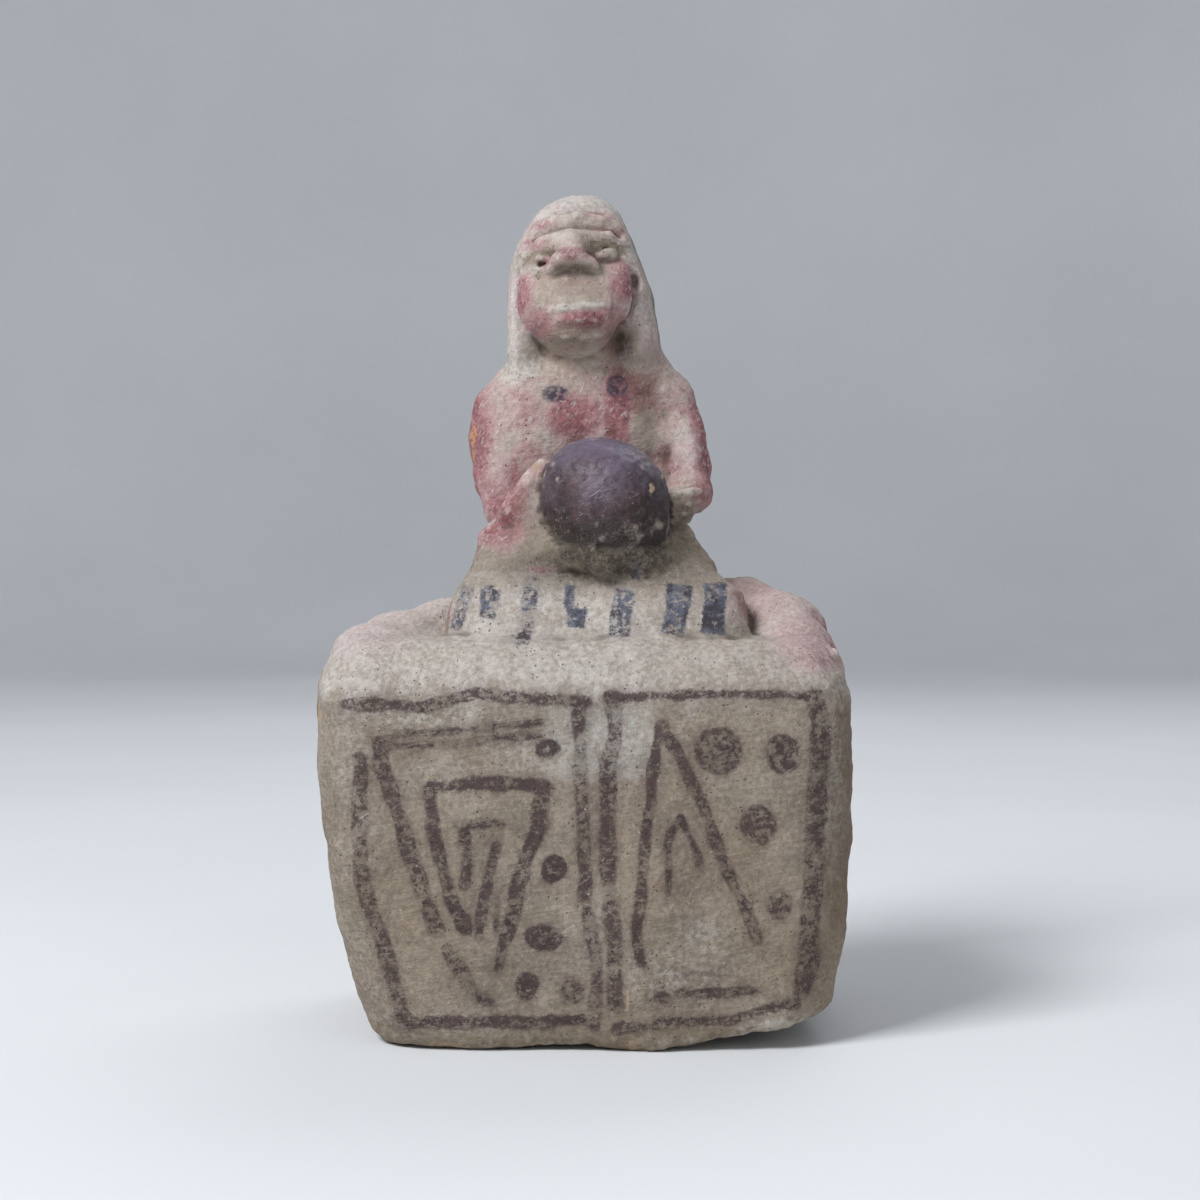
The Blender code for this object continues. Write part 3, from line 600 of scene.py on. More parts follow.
# =====================================================================================================================
# 3. paint: fields over the surface, in mm or 0 to 1, that the clay material turns into slip, wear, dirt and painted
#    light and shade
# =====================================================================================================================
STROKES = [  # half width, wear, points on the front panel (x, z)
    (1.2, .35, [(-53.5, 78.6), (-35.2, 78.0), (-24.2, 81.0), (-9.5, 79.7), (0.6, 79.2)]),
    (1.1, .30, [(6.1, 80.1), (17.7, 80.6), (35.7, 80.9), (52.5, 80.4)]),
    (1.6, .44, [(-50.3, 65.9), (-49.9, 44.1), (-49.4, 37.6), (-46.5, 29.2), (-44.0, 20.9), (-41.3, 10.2), (-40.4, 6.9)]),
    (2.1, .42, [(52.5, 79.5), (53.7, 72.3), (53.0, 61.6), (52.5, 46.4), (52.1, 38.1), (51.2, 29.3), (51.2, 20.8), (49.4, 13.7)]),
    (1.3, .45, [(-1.0, 78.6), (-0.3, 57.6), (0.6, 43.5), (1.0, 31.9), (2.8, 23.4), (3.2, 17.0), (2.8, 6.2)]),
    (1.6, .44, [(7.0, 79.2), (7.5, 72.5), (5.7, 66.1), (5.7, 42.6), (6.6, 31.9), (7.0, 25.9), (7.5, 11.4)]),
    (1.3, .35, [(-40.4, 6.4), (-23.8, 7.0), (-11.3, 6.7), (-0.1, 7.6)]),
    (1.2, .35, [(7.9, 5.4), (19.3, 6.6), (33.9, 7.4), (41.7, 10.0), (47.8, 10.6)]),
    (0.75, .45, [(-45.4, 70.4), (-40.9, 72.0), (-29.2, 72.3), (-18.4, 73.9), (-9.5, 74.5)]),
    (0.75, .45, [(-44.5, 68.8), (-36.4, 69.5), (-29.2, 69.6), (-18.4, 71.2), (-9.3, 71.2)]),
    (1.6, .46, [(-45.6, 70.2), (-45.1, 63.9), (-42.7, 57.4), (-39.5, 47.6), (-36.6, 39.1), (-35.2, 34.0), (-32.8, 28.0)]),
    (1.4, .45, [(-30.5, 23.3), (-27.6, 19.1), (-24.5, 13.5), (-21.6, 11.8)]),
    (1.3, .25, [(-34.1, 59.5), (-25.1, 61.1), (-8.4, 60.5)]),
    (1.4, .35, [(-34.1, 58.4), (-33.7, 51.0), (-31.9, 44.3), (-30.1, 36.0), (-26.3, 28.0)]),
    (1.5, .35, [(-8.8, 59.4), (-9.9, 51.1), (-12.6, 44.6), (-14.4, 37.9), (-15.5, 31.0), (-17.3, 26.3)]),
    (1.0, .45, [(-28.1, 51.9), (-17.8, 52.0)]),
    (1.1, .35, [(-26.7, 51.0), (-25.8, 44.6), (-26.3, 37.9)]),
    (1.1, .35, [(-19.3, 46.8), (-21.1, 39.5), (-22.5, 31.8), (-23.4, 26.3)]),
    (0.9, .50, [(-19.1, 35.2), (-19.3, 28.5)]),
    (1.0, .40, [(-17.8, 24.3), (-19.1, 19.1)]),
    (1.5, .42, [(17.7, 73.4), (21.1, 68.3), (24.5, 60.9), (27.1, 55.3), (31.4, 43.9), (34.3, 36.9), (37.9, 29.9), (39.2, 25.7)]),
    (1.3, .34, [(17.3, 72.5), (16.0, 68.3), (15.5, 59.6), (14.2, 49.1), (13.5, 40.4), (12.6, 31.9), (12.2, 25.4), (13.1, 20.7)]),
    (1.0, .36, [(22.0, 53.3), (19.3, 49.1), (19.1, 42.6), (19.3, 36.1)]),
    (1.0, .36, [(22.0, 53.3), (24.5, 47.7), (26.7, 41.7)]),
    (0.8, .52, [(22.9, 18.2), (33.0, 17.7)]),
    (1.3, .40, [(22.0, 13.5), (39.9, 13.8)]),
]
SPOTS = [  # x, z, half width, half height, wear
    (-6.4, 41.7, 3.1, 3.4, .08), (-8.8, 26.3, 4.5, 3.1, .28), (-12.6, 15.2, 2.9, 3.4, .25), (-2.3, 13.6, 2.9, 2.9, .42),
    (30.5, 68.2, 5.6, 5.4, .40), (45.1, 67.3, 4.3, 4.5, .38), (39.5, 51.4, 4.0, 4.5, .42), (44.2, 33.5, 3.1, 3.6, .44),
    (17.7, 12.7, 2.0, 1.6, .40), (-7.7, 68.6, 2.8, 2.0, .30), (19.3, 7.1, 4.0, 1.6, .30),
]
STRIPES = [  # the bands on the mantle: half width, wear, points (x, z)
    (1.5, .44, [(-26.6, 105.1), (-28.1, 100.2), (-29.8, 94.3)]), (2.0, .38, [(-21.5, 104.4), (-21.7, 100.2), (-22.3, 97.1)]),
    (0.5, .30, [(-23.3, 104.4), (-20.1, 104.6)]), (1.7, .52, [(-11.4, 107.2), (-12.4, 101.6), (-12.9, 97.0), (-14.0, 91.0)]),
    (1.0, .34, [(-3.0, 105.5), (-3.2, 101.6), (-3.5, 98.9)]),
    (2.0, .25, [(-1.4, 100.2), (-1.8, 95.0)]), (1.1, .20, [(13.2, 110.8), (11.8, 106.2)]),
    (2.2, .40, [(9.9, 104.2), (8.7, 98.2), (8.3, 93.0)]), (2.6, .24, [(22.4, 105.5), (21.8, 99.3), (20.2, 93.4)]),
    (2.6, .22, [(30.7, 105.7), (30.9, 101.6), (30.1, 98.2), (29.8, 93.4)]),
]


def line_field(lines, u, v, square=False, widen=1.0):
    """Distance to the nearest painted line's edge and that line's wear."""
    best, wear = np.full(len(u), 12.0), np.zeros(len(u))
    for number, (half, w, pts) in enumerate(lines):
        pts = np.array(pts)
        run = 0.0
        for i, (a, b) in enumerate(zip(pts, pts[1:])):
            d = b - a
            length = math.hypot(*d)
            raw = ((u - a[0]) * d[0] + (v - a[1]) * d[1]) / (d @ d)
            t = np.clip(raw, 0, 1)
            along = run + t * length
            swell = 1 + 0.08 * np.sin(along * 0.37 + 1.7 * number)
            dist = np.hypot(u - a[0] - t * d[0], v - a[1] - t * d[1]) - half * widen * swell
            if square:
                past = np.maximum(-raw if i == 0 else -9, raw - 1 if i == len(pts) - 2 else -9) * length
                dist = np.maximum(dist + 0.0, past + 0.3)
                dist = np.where((raw < -0.2) | (raw > 1.2), np.maximum(dist, 0.6), dist)
            run += length
            m = dist < best
            best[m], wear[m] = dist[m], w
    return best, wear


def spot_field(spots, u, v):
    best, wear = np.full(len(u), 12.0), np.zeros(len(u))
    for cx, cz, rx, rz, w in spots:
        a, b = (u - cx) / rx, (v - cz) / rz
        k0 = np.sqrt(a * a + b * b) + 1e-6
        k1 = np.sqrt((a / rx) ** 2 + (b / rz) ** 2) + 1e-6
        dist = k0 * (k0 - 1) / k1
        m = dist < best
        best[m], wear[m] = dist[m], w
    return best, wear


facing = step01(0.15, 0.45, -N[:, 1])
A = {}
ink, wear = line_field(STROKES, x, z, widen=1.20)
ink = ink + 0.35 * step01(8, 14, x) * (1 - step01(46, 48, x))
ink2, wear2 = spot_field(SPOTS, x, z)
wear = np.where(ink2 < ink, wear2, wear)
ink = np.minimum(ink, ink2)
off = (1 - facing) * 12 + 12 * (y > -30)
A["ink"] = ink + off + 0.15 * waves(x, y, z, 7.0, 51) + 0.10 * waves(x, y, z, 3.0, 52)
A["ink_wear"] = wear
band, bwear = line_field(STRIPES, x, z, square=True, widen=1.08)
on_mantle = np.where((z > 91.5) & (z < 113) & (y < -8), 0, 12)
A["band"] = band + on_mantle
A["band_wear"] = bwear
dots, _ = spot_field([(-7.0, 151.0, 3.4, 2.1, 0), (8.0, 152.9, 2.7, 2.8, 0)], x, z)
A["dots"] = dots + np.where(N[:, 1] < -0.2, 0, 12) + np.where((z > 140) & (z < 160), 0, 12)

RED = [  # x, z, half width, half height, strength, seen from the front
    (-12, 192.5, 8, 3.0, .80), (-9, 196.4, 8, 2.4, .66), (-12, 187.0, 7, 2.6, .80), (3, 194.6, 9, 2.2, .60), (6, 190.6, 8, 2.0, .62), (-3.0, 183.6, 8.0, 2.2, 1.25), (-9, 181.6, 2.6, 1.8, .8), (2.8, 182.6, 2.6, 1.8, .8),
    (-15.5, 174.5, 4.8, 8.6, 1.0), (-12.0, 167.5, 7.0, 6.0, .80), (10.2, 177.6, 6.2, 8.0, 1.05), (1.2, 168.2, 8.6, 2.7, 1.35), (7.6, 166.5, 7.0, 8.0, .95),
    (10.8, 152.0, 8.0, 7.4, 1.35), (8.0, 144.5, 4.4, 12.0, 1.35), (-2.0, 145.0, 10, 9, 1.15), (-14.5, 147.0, 12.0, 10.0, .60), (2.0, 150.0, 9.0, 10.0, .50),
    (-27.5, 140, 7.0, 30, 1.15), (31.0, 143, 7.0, 30, 1.25), (22, 136, 9, 8, .72), (-18.5, 125, 7.0, 15, 1.15), (-20, 116.8, 8.5, 3.8, 1.2),
    (54, 93, 14, 9.5, .90), (55, 89.0, 10, 4.2, 1.2), (-50, 94, 17, 8, .62), (-9.6, 108.5, 4.4, 1.3, .9), (41, 101, 15, 8, .66), (-38, 98, 13, 6, .50),
    (16.5, 161, 5.0, 9, .75), (14, 170, 5, 12, .50), (-13, 134, 10, 12, .58), (13, 138, 8, 10, .40), (-14, 160, 5, 10, .35),
]
red = np.zeros(len(P))
for cx, cz, rx, rz, s in RED:
    r = np.sqrt(((x - cx) / rx) ** 2 + ((z - cz) / rz) ** 2)
    red = np.maximum(red, s * (1 - step01(0.15, 1.35, r)) * step01(-0.35, 0.1, -N[:, 1]))
vlabel = np.zeros(len(P), np.int32)
vlabel[Q.ravel()] = np.repeat(label, 4)
L = {n: i for i, n in enumerate(LABELS)}
floor_red = np.zeros(len(P))
for n, v in {"arm_left": .7, "arm_right": .62, "torso_front_shell": .42, "torso_back_shell": .75, "leg_left": .5, "leg_right": .62,
             "head_front_shell": .34, "nose": .4, "brow_left": .4, "brow_right": .4, "lip_lower": .8, "small_shoulder_left": .4,
             "hand_left": .6, "hand_right": .25, "foot_right": .3, "foot_left": .25, "headband": .35}.items():
    floor_red[vlabel == L[n]] = v
for _ in range(12):
    s = np.bincount(Q.ravel(), floor_red[Q].mean(1).repeat(4), len(P)) / np.bincount(Q.ravel(), minlength=len(P))
    floor_red = s
back_side = step01(-0.1, 0.5, N[:, 1])
red = np.maximum(red, floor_red * (0.75 + 0.5 * back_side))
A["red"] = red
dome_d = np.minimum(DOME(x, y, z), Lump((7.0, -14.0, 117.0), (13.0, 11.6, 8.2))(x, y, z))
dome_edge = 1 - step01(0.6, 1.5, dome_d + 0.4 * waves(x, y, z, 3.0, 46))
A["plum"] = dome_edge * step01(109.0, 111.0, z + 0.9 * waves(x, y, z, 4.0, 41))
A["ash"] = np.minimum(1.0, (1 - step01(117, 133, z - 0.35 * (x - 5))) * 0.75 + 0.5 * (1 - step01(-8, 4, x)))
A["crust"] = np.clip(1.3 * np.exp(-(((x - 6) / 19) ** 2 + ((y + 20) / 11) ** 2 + ((z - 109.6) / 4.4) ** 2)), 0, 1)
under = np.sqrt(((x - 6.5) / 15.0) ** 2 + ((z - 114.2) / 7.6) ** 2) + 0.10 * waves(x, y, z, 5.0, 49) + 0.06 * waves(x, y, z, 2.2, 50)
A["black"] = (1 - step01(0.66, 1.05, under)) * step01(10, 14, -y)
# painted sheen: lilac highlight on the upward faces of the cap
A["sheen"] = step01(0.35, 0.95, N[:, 2]) * dome_edge * (z > 120)
A["soot"] = step01(0.10, 0.55, N[:, 1] + 0.5 * np.maximum(N[:, 0], 0) + 0.05 * waves(x, y, z, 14.0, 47)) * step01(151, 156, z + waves(x, y, z, 8, 45)) * ((vlabel == L["hair_left_fall"]) | (vlabel == L["hair_right_fall"]) | (vlabel == L["head_back_shell"]))
# brown on the right-facing side of the base: a brown wash together with painted shade on the side turned from the light
A["side"] = step01(0.45, 0.8, N[:, 0]) * step01(20, 30, z) * (1 - step01(80, 90, z)) * step01(10, 40, x) * (1 - step01(-10, 30, y))
A["pale"] = step01(61.2, 62.0, z + 0.25 * waves(x, y, z, 3, 42)) * (1 - step01(76, 80, z)) * step01(-11, -6, x) * (1 - step01(14, 19, x)) * facing * (z < 86)
SMEAR = [  # x, z, half width, half height, strength
    (3.4, 44, 5.5, 40, .55), (3, 12, 9, 10, .6), (-22, 34, 9, 16, .55), (-24, 16, 10, 8, .5), (23, 38, 8, 18, .62), (-8, 24, 9, 10, .5), (-38, 60, 10, 14, .38),
    (50, 45, 6, 34, .5), (-47, 35, 5, 32, .5), (30, 68, 6, 6, .30), (-28, 71, 20, 4, .35), (20, 9, 16, 4, .5), (-55, 78, 8, 4, .4),
]
SCUFF = [
    (-36, 76, 22, 5, .95), (-12, 70, 12, 8, .55), (5, 72, 12, 10, .75), (20, 18, 18, 9, .55), (27, 26, 8, 6, .6), (4, 28, 8, 18, .4), (-30, 62, 12, 6, .35), (-52, 70, 5, 20, .4), (57, 60, 4, 24, .4), (-30, 6, 26, 4, .45), (43, 8, 10, 5, .4),
]


def washes(spots):
    out = np.zeros(len(P))
    for cx, cz, rx, rz, st in spots:
        out = np.maximum(out, st * (1 - step01(0.1, 1.3, np.sqrt(((x - cx) / rx) ** 2 + ((z - cz) / rz) ** 2))))
    return out * facing * (z < 90)


A["smear"] = washes(SMEAR)
A["scuff"] = washes(SCUFF)
hair = np.isin(vlabel, [L["hair_left_fall"], L["hair_right_fall"], L["head_back_shell"]])
# pale coat above the box's rim on upward faces, the hair and the front, weaker to the right: dust together with painted
# light from above and the left
A["dust_and_top_light"] = np.where(hair | (y < -20), 1.0, step01(0.15, 0.75, N[:, 2])) * step01(76, 84, z + 1.2 * waves(x, y, z, 9.0, 44)) * (1 - 0.55 * step01(100, 106, z)) * np.where(z < 108, 1, np.where(hair, 2.2, 0.5)) * (1 - 0.35 * step01(-5, 40, x))
GRIME_AND_SHADE = [  # x, z, half width, half height, strength: painted shade under the nose, lip and chin, in the eye sockets, down the right of the jaw, neck and chest and round the hands, together with tan-grey grime
    (-3, 180.2, 7.5, 2.0, 1.0), (-2, 164.2, 10, 3.4, .85), (9, 163.5, 6, 6, 1.0), (13, 158, 6, 8, .7), (-1, 175.5, 7, 3.0, .4), (-12, 162, 5, 4, .5), (3, 186.5, 4, 2.4, .5), (-11, 184.6, 4, 1.6, .4),
    (14.5, 146, 3.6, 14, .7), (24, 122, 5, 4.5, .9), (-12, 122, 5, 8, .6),
]
grime_and_shade = np.zeros(len(P))
for cx, cz, rx, rz, st in GRIME_AND_SHADE:
    grime_and_shade = np.maximum(grime_and_shade, st * (1 - step01(0.2, 1.3, np.sqrt(((x - cx) / rx) ** 2 + ((z - cz) / rz) ** 2))))
A["grime_and_shade"] = grime_and_shade * step01(-0.1, 0.3, -N[:, 1])
BRIGHT = [(-4.4, 170.9, 3.6, .75, 1.0), (1.6, 171.6, 4.6, .75, 1.0), (-12.5, 180.5, 3.4, 1.6, .6), (-4.5, 188.4, 3.6, 2.0, .5), (-12, 194.6, 5, 2.0, .6), (-17.5, 170, 1.6, 14, .7), (25, 138, 4, 7, .6), (-20, 133, 3, 8, .4)]
bright = np.zeros(len(P))
for cx, cz, rx, rz, st in BRIGHT:
    bright = np.maximum(bright, st * (1 - step01(0.4, 1.2, np.sqrt(((x - cx) / rx) ** 2 + ((z - cz) / rz) ** 2))))
A["bright"] = bright * step01(0.1, 0.5, -N[:, 1])
A["shade"] = np.clip(0.75 * step01(5, 17, x) + 0.95 * (1 - step01(113, 122, z + 1.5 * waves(x, y, z, 6.0, 48))), 0, 1)
A["low"] = (1 - step01(0.5, 5.5, z)) * 1.0
print("bend", np.percentile(CAV_FINE, [2, 10, 50, 90, 98]).round(3), np.percentile(CAV_BROAD, [2, 10, 50, 90, 98]).round(3))
A["cav"] = np.clip(CAV_FINE / 0.16, -1.5, 1.5)
A["cavb"] = np.clip(CAV_BROAD / 0.9, -1.5, 1.5)
CHIPS = {
    "bare": [(-26.9, 8, 141, 1.0, 3.6), (-27.0, 8, 136.0, .7, 1.6), (30.6, 6, 147, .7, 2.4), (30.8, 5, 152, .6, 1.2)],
    "nick": [(-11.2, -14, 133.6, .8, 1.7), (15.8, -21, 127.4, .7, 1.2), (18.6, -15, 130.6, .4, .7), (-60.6, -26, 76.5, 2.2, 3.4), (-57.2, -33, 17.5, 2.4, 2.6), (61.8, -30, 54, .7, 1.7),
             (59.8, -34, 23, .7, 1.2), (11.4, -42, 1.4, 1.6, 1.8), (-30, -41, 1, 5, 1.0), (34, -41, 1, 4, 1.1), (60, -20, 88, 2, 1.4), (-57, -20, 86, 2.4, 1.2), (10.0, -42, 12, .5, 2.5), (-61.8, 6, 60, 2, 3), (20, 42, 40, 3, 2)],
}
for key, spots in CHIPS.items():
    out = np.zeros(len(P))
    for cx, cy, cz, rx, rz in spots:
        r = np.sqrt(((x - cx) / rx) ** 2 + ((y - cy) / 7.0) ** 2 + ((z - cz) / rz) ** 2)
        out = np.maximum(out, 1 - step01(0.7, 1.15, r + 0.25 * waves(x, y, z, 1.6, 43)))
    A[key] = out

# =====================================================================================================================
# 4. the material: slip-painted, worn, dusty fired clay, with painted light and shade
# =====================================================================================================================


def lin(r, g, b):
    out = []
    for c in (r, g, b):
        c = c / 255.0
        out.append(c / 12.92 if c <= 0.04045 else ((c + 0.055) / 1.055) ** 2.4)
    return (*out, 1.0)


class Net:
    """Small helper that keeps the node code readable."""

    def __init__(self, material):
        self.t = material.node_tree
        self.t.nodes.clear()

    def node(self, kind, **sets):
        n = self.t.nodes.new(kind)
        for k, v in sets.items():
            setattr(n, k, v)
        return n

    def put(self, socket, value):
        if isinstance(value, bpy.types.NodeSocket):
            self.t.links.new(value, socket)
        else:
            socket.default_value = value

    def math(self, op, a, b=0.0, c=None, clamp=False):
        n = self.node("ShaderNodeMath", operation=op, use_clamp=clamp)
        self.put(n.inputs[0], a)
        self.put(n.inputs[1], b)
        if c is not None:
            self.put(n.inputs[2], c)
        return n.outputs[0]

    def ramp(self, value, lo, hi, a=0.0, b=1.0):
        n = self.node("ShaderNodeMapRange", interpolation_type="SMOOTHSTEP")
        for i, v in enumerate((value, lo, hi, a, b)):
            self.put(n.inputs[i], v)
        return n.outputs[0]

    def mix(self, f, a, b):
        n = self.node("ShaderNodeMix", data_type="RGBA", clamp_factor=True)
        self.put(n.inputs[0], f)
        self.put(n.inputs[6], a)
        self.put(n.inputs[7], b)
        return n.outputs[2]

    def blend(self, f, a, b, how):
        n = self.node("ShaderNodeMix", data_type="RGBA", blend_type=how, clamp_factor=True)
        self.put(n.inputs[0], f)
        self.put(n.inputs[6], a)
        self.put(n.inputs[7], b)
        return n.outputs[2]

    def field(self, name):
        return self.node("ShaderNodeAttribute", attribute_name=name, attribute_type="GEOMETRY").outputs["Fac"]

    def noise(self, where, scale, detail=4.0, rough=0.55, warp=0.0):
        n = self.node("ShaderNodeTexNoise")
        self.put(n.inputs["Vector"], where)
        n.inputs["Scale"].default_value = scale
        n.inputs["Detail"].default_value = detail
        n.inputs["Roughness"].default_value = rough
        n.inputs["Distortion"].default_value = warp
        return n.outputs["Fac"]

    def mix_vector(self, where, noise, reach=5.0):
        """Coordinates pushed about by a noise, so that lines drawn over them wander."""
        n = self.node("ShaderNodeVectorMath", operation="ADD")
        push = self.node("ShaderNodeCombineXYZ")
        for i in range(3):
            self.put(push.inputs[i], self.math("MULTIPLY", self.math("SUBTRACT", noise, 0.5), reach * (1.0, -0.7, 0.8)[i]))
        self.put(n.inputs[0], where)
        self.put(n.inputs[1], push.outputs[0])
        return n.outputs[0]

    def cells(self, where, scale, feature="F1", jitter=1.0):
        n = self.node("ShaderNodeTexVoronoi", feature=feature)
        self.put(n.inputs["Vector"], where)
        n.inputs["Scale"].default_value = scale
        n.inputs["Randomness"].default_value = jitter
        return n.outputs

    def mapped(self, where, scale=(1, 1, 1), turn=(0, 0, 0), shift=(0, 0, 0)):
        n = self.node("ShaderNodeMapping")
        self.put(n.inputs["Vector"], where)
        n.inputs["Scale"].default_value = scale
        n.inputs["Rotation"].default_value = [math.radians(a) for a in turn]
        n.inputs["Location"].default_value = shift
        return n.outputs[0]


def clay_material(name, light, dark, lift=0.0, relief=1.0):
    """light and dark are the two tones of the slip coat under everything else. Lengths in the nodes are millimetres."""
    mat = bpy.data.materials.new(name)
    mat.use_nodes = True
    t = Net(mat)
    co = t.mapped(t.node("ShaderNodeTexCoord").outputs["Object"], scale=(1000, 1000, 1000))
    n_huge = t.noise(co, 0.022, 3)
    n_big = t.noise(co, 0.075, 5, 0.6)
    n_mid = t.noise(co, 0.26, 5, 0.62, 0.4)
    n_small = t.noise(co, 0.85, 4, 0.6)
    n_grain = t.noise(co, 3.0, 3, 0.6)
    n_fine = t.noise(t.mapped(co, shift=(5, 21, 40), turn=(10, 20, 30)), 1.7, 4, 0.65, 0.3)
    n_patch = t.noise(t.mapped(co, shift=(31, 7, 12)), 0.16, 6, 0.66, 0.3)
    n_wear = t.noise(t.mapped(co, shift=(-17, 43, 5)), 0.55, 6, 0.72, 0.2)
    brush = t.noise(t.mapped(t.mapped(co, turn=(0, 9, 0)), scale=(0.12, 0.4, 1.5)), 1.0, 4, 0.6, 0.5)
    streak = t.noise(t.mapped(t.mapped(co, turn=(0, -32, 0)), scale=(1.5, 0.8, 0.26)), 1.0, 4, 0.65, 0.6)
    cav, cavb = t.field("cav"), t.field("cavb")
    proud_raw = t.math("MULTIPLY", cav, -1.0)

    # slip coat
    coat = t.mix(t.ramp(t.math("ADD", t.math("MULTIPLY", n_big, 0.5), t.math("MULTIPLY", n_small, 0.5)), 0.36, 0.64), dark, light)
    coat = t.mix(t.math("MULTIPLY", t.ramp(n_huge, 0.42, 0.62), 0.30), coat, lin(138, 120, 96))
    coat = t.mix(t.math("MULTIPLY", t.ramp(brush, 0.50, 0.68), 0.16), coat, lin(190, 182, 170))
    coat = t.mix(t.math("MULTIPLY", t.ramp(n_patch, 0.56, 0.72), 0.22), coat, lin(118, 102, 82))
    coat = t.mix(t.math("MULTIPLY", t.field("pale"), t.ramp(n_wear, 0.35, 0.60, 0.25, 0.60)), coat, lin(176, 172, 164))
    # brown wash with painted shade on the right-facing side of the base
    coat = t.mix(t.math("MULTIPLY", t.field("side"), t.ramp(n_patch, 0.30, 0.66, 0.35, 0.65)), coat, lin(104, 84, 66))
    coat = t.mix(t.math("MULTIPLY", t.field("low"), 0.45), coat, lin(126, 108, 88))

    # red slip, worn in streaks and off the proud spots
    red = t.field("red")
    drift = t.math("MULTIPLY", t.math("SUBTRACT", n_patch, 0.5), 2.2)
    hold = t.math("ADD", t.math("ADD", red, t.math("MULTIPLY", t.math("SUBTRACT", n_wear, 0.5), 2.2)), t.math("MULTIPLY", t.math("SUBTRACT", streak, 0.5), 1.5))
    hold = t.math("ADD", t.math("ADD", hold, drift), t.math("MULTIPLY", cav, 0.12))
    wash = t.ramp(t.math("ADD", red, t.math("MULTIPLY", drift, 0.5)), 0.10, 0.90, 0.0, 0.78)
    body = t.mix(wash, coat, lin(172, 128, 132))
    reds = t.mix(t.ramp(n_mid, 0.4, 0.6), lin(142, 87, 89), lin(116, 67, 71))
    reds = t.mix(t.ramp(n_small, 0.46, 0.66, 0.0, 0.50), reds, lin(168, 116, 120))
    body = t.mix(t.math("MULTIPLY", t.ramp(hold, 0.30, 1.05), t.ramp(red, 0.1, 1.1, 0.30, 0.86)), body, reds)
    white = t.math("MULTIPLY", t.ramp(red, 0.10, 0.4), t.ramp(t.math("SUBTRACT", t.math("ADD", t.math("MULTIPLY", n_wear, 0.8), t.math("MULTIPLY", streak, 0.8)), t.math("MULTIPLY", cav, 0.05)), 0.82, 1.00, 0.0, 0.50))
    body = t.mix(white, body, lin(204, 194, 190))

    # smeared paint, pale scuffs, and a pale lilac coat on upward faces, weaker to the right: dust together with painted
    # light from above and the left
    body = t.mix(t.math("MULTIPLY", t.field("smear"), t.ramp(t.math("ADD", t.math("MULTIPLY", n_wear, 0.6), t.math("MULTIPLY", streak, 0.5)), 0.50, 0.62, 0.10, 0.72)), body, lin(96, 84, 78))
    body = t.mix(t.math("MULTIPLY", t.field("scuff"), t.ramp(t.math("ADD", t.math("MULTIPLY", n_wear, 0.7), t.math("MULTIPLY", n_small, 0.4)), 0.50, 0.62, 0.12, 0.70)), body, lin(182, 179, 174))
    body = t.mix(t.math("MULTIPLY", t.field("dust_and_top_light"), t.ramp(t.math("ADD", t.math("MULTIPLY", n_patch, 0.6), t.math("MULTIPLY", n_small, 0.4)), 0.38, 0.62, 0.35, 0.85)), body, lin(194, 186, 180))

    # painted shade and tan-grey grime in those patches, darkest where strongest
    body = t.mix(t.math("MULTIPLY", t.field("grime_and_shade"), t.ramp(t.math("ADD", t.math("MULTIPLY", n_wear, 0.7), t.math("MULTIPLY", n_small, 0.4)), 0.42, 0.62, 0.45, 0.92)), body, t.mix(t.ramp(t.field("grime_and_shade"), 0.6, 1.0), lin(116, 102, 86), lin(88, 74, 64)))
    body = t.mix(t.math("MULTIPLY", t.field("bright"), t.ramp(n_wear, 0.36, 0.56, 0.35, 0.80)), body, lin(204, 196, 190))

    # purple-brown painted lines: edges wander, the film is broken by wear
    edge = t.math("ADD", t.math("MULTIPLY", t.math("SUBTRACT", n_wear, 0.5), 2.0), t.math("MULTIPLY", t.math("SUBTRACT", n_fine, 0.5), 1.6))
    film = t.ramp(t.math("ADD", t.field("ink"), edge), -0.40, 0.40, 1.0, 0.0)
    rubbed = t.math("ADD", t.math("ADD", t.math("MULTIPLY", n_wear, 0.70), t.math("MULTIPLY", n_fine, 0.30)), t.math("ADD", t.math("MULTIPLY", n_patch, 0.45), t.math("MULTIPLY", brush, 0.25)))
    rubbed = t.math("SUBTRACT", rubbed, t.math("MULTIPLY", proud_raw, 0.03))
    broken = t.ramp(t.math("SUBTRACT", rubbed, t.math("MULTIPLY", t.field("ink_wear"), 0.38)), 0.625, 0.755)
    ink_on = t.math("MULTIPLY", film, t.math("ADD", t.math("MULTIPLY", broken, 0.66), 0.28))
    inks = t.mix(t.ramp(n_mid, 0.38, 0.6), lin(42, 30, 34), lin(62, 48, 51))
    body = t.mix(ink_on, body, inks)
    halo = t.math("MULTIPLY", t.ramp(t.math("ADD", t.field("ink"), edge), 0.2, 2.6, 1.0, 0.0), t.ramp(n_patch, 0.35, 0.65, 0.08, 0.34))
    body = t.mix(halo, body, lin(104, 84, 78))

    # blue-black bands on the mantle and the two dots on the chest
    film_b = t.ramp(t.math("ADD", t.field("band"), edge), -0.30, 0.30, 1.0, 0.0)
    broken_b = t.ramp(t.math("SUBTRACT", rubbed, t.math("MULTIPLY", t.field("band_wear"), 0.40)), 0.615, 0.735)
    band_on = t.math("MULTIPLY", film_b, t.math("ADD", t.math("MULTIPLY", broken_b, 0.74), 0.20))
    bands = t.mix(t.ramp(n_mid, 0.40, 0.60), lin(54, 50, 62), lin(90, 95, 110))
    body = t.mix(band_on, body, bands)
    dot_on = t.math("MULTIPLY", t.ramp(t.math("ADD", t.field("dots"), edge), -0.4, 0.4, 1.0, 0.0), t.ramp(n_wear, 0.36, 0.58, 0.25, 0.92))
    body = t.mix(dot_on, body, lin(58, 52, 68))
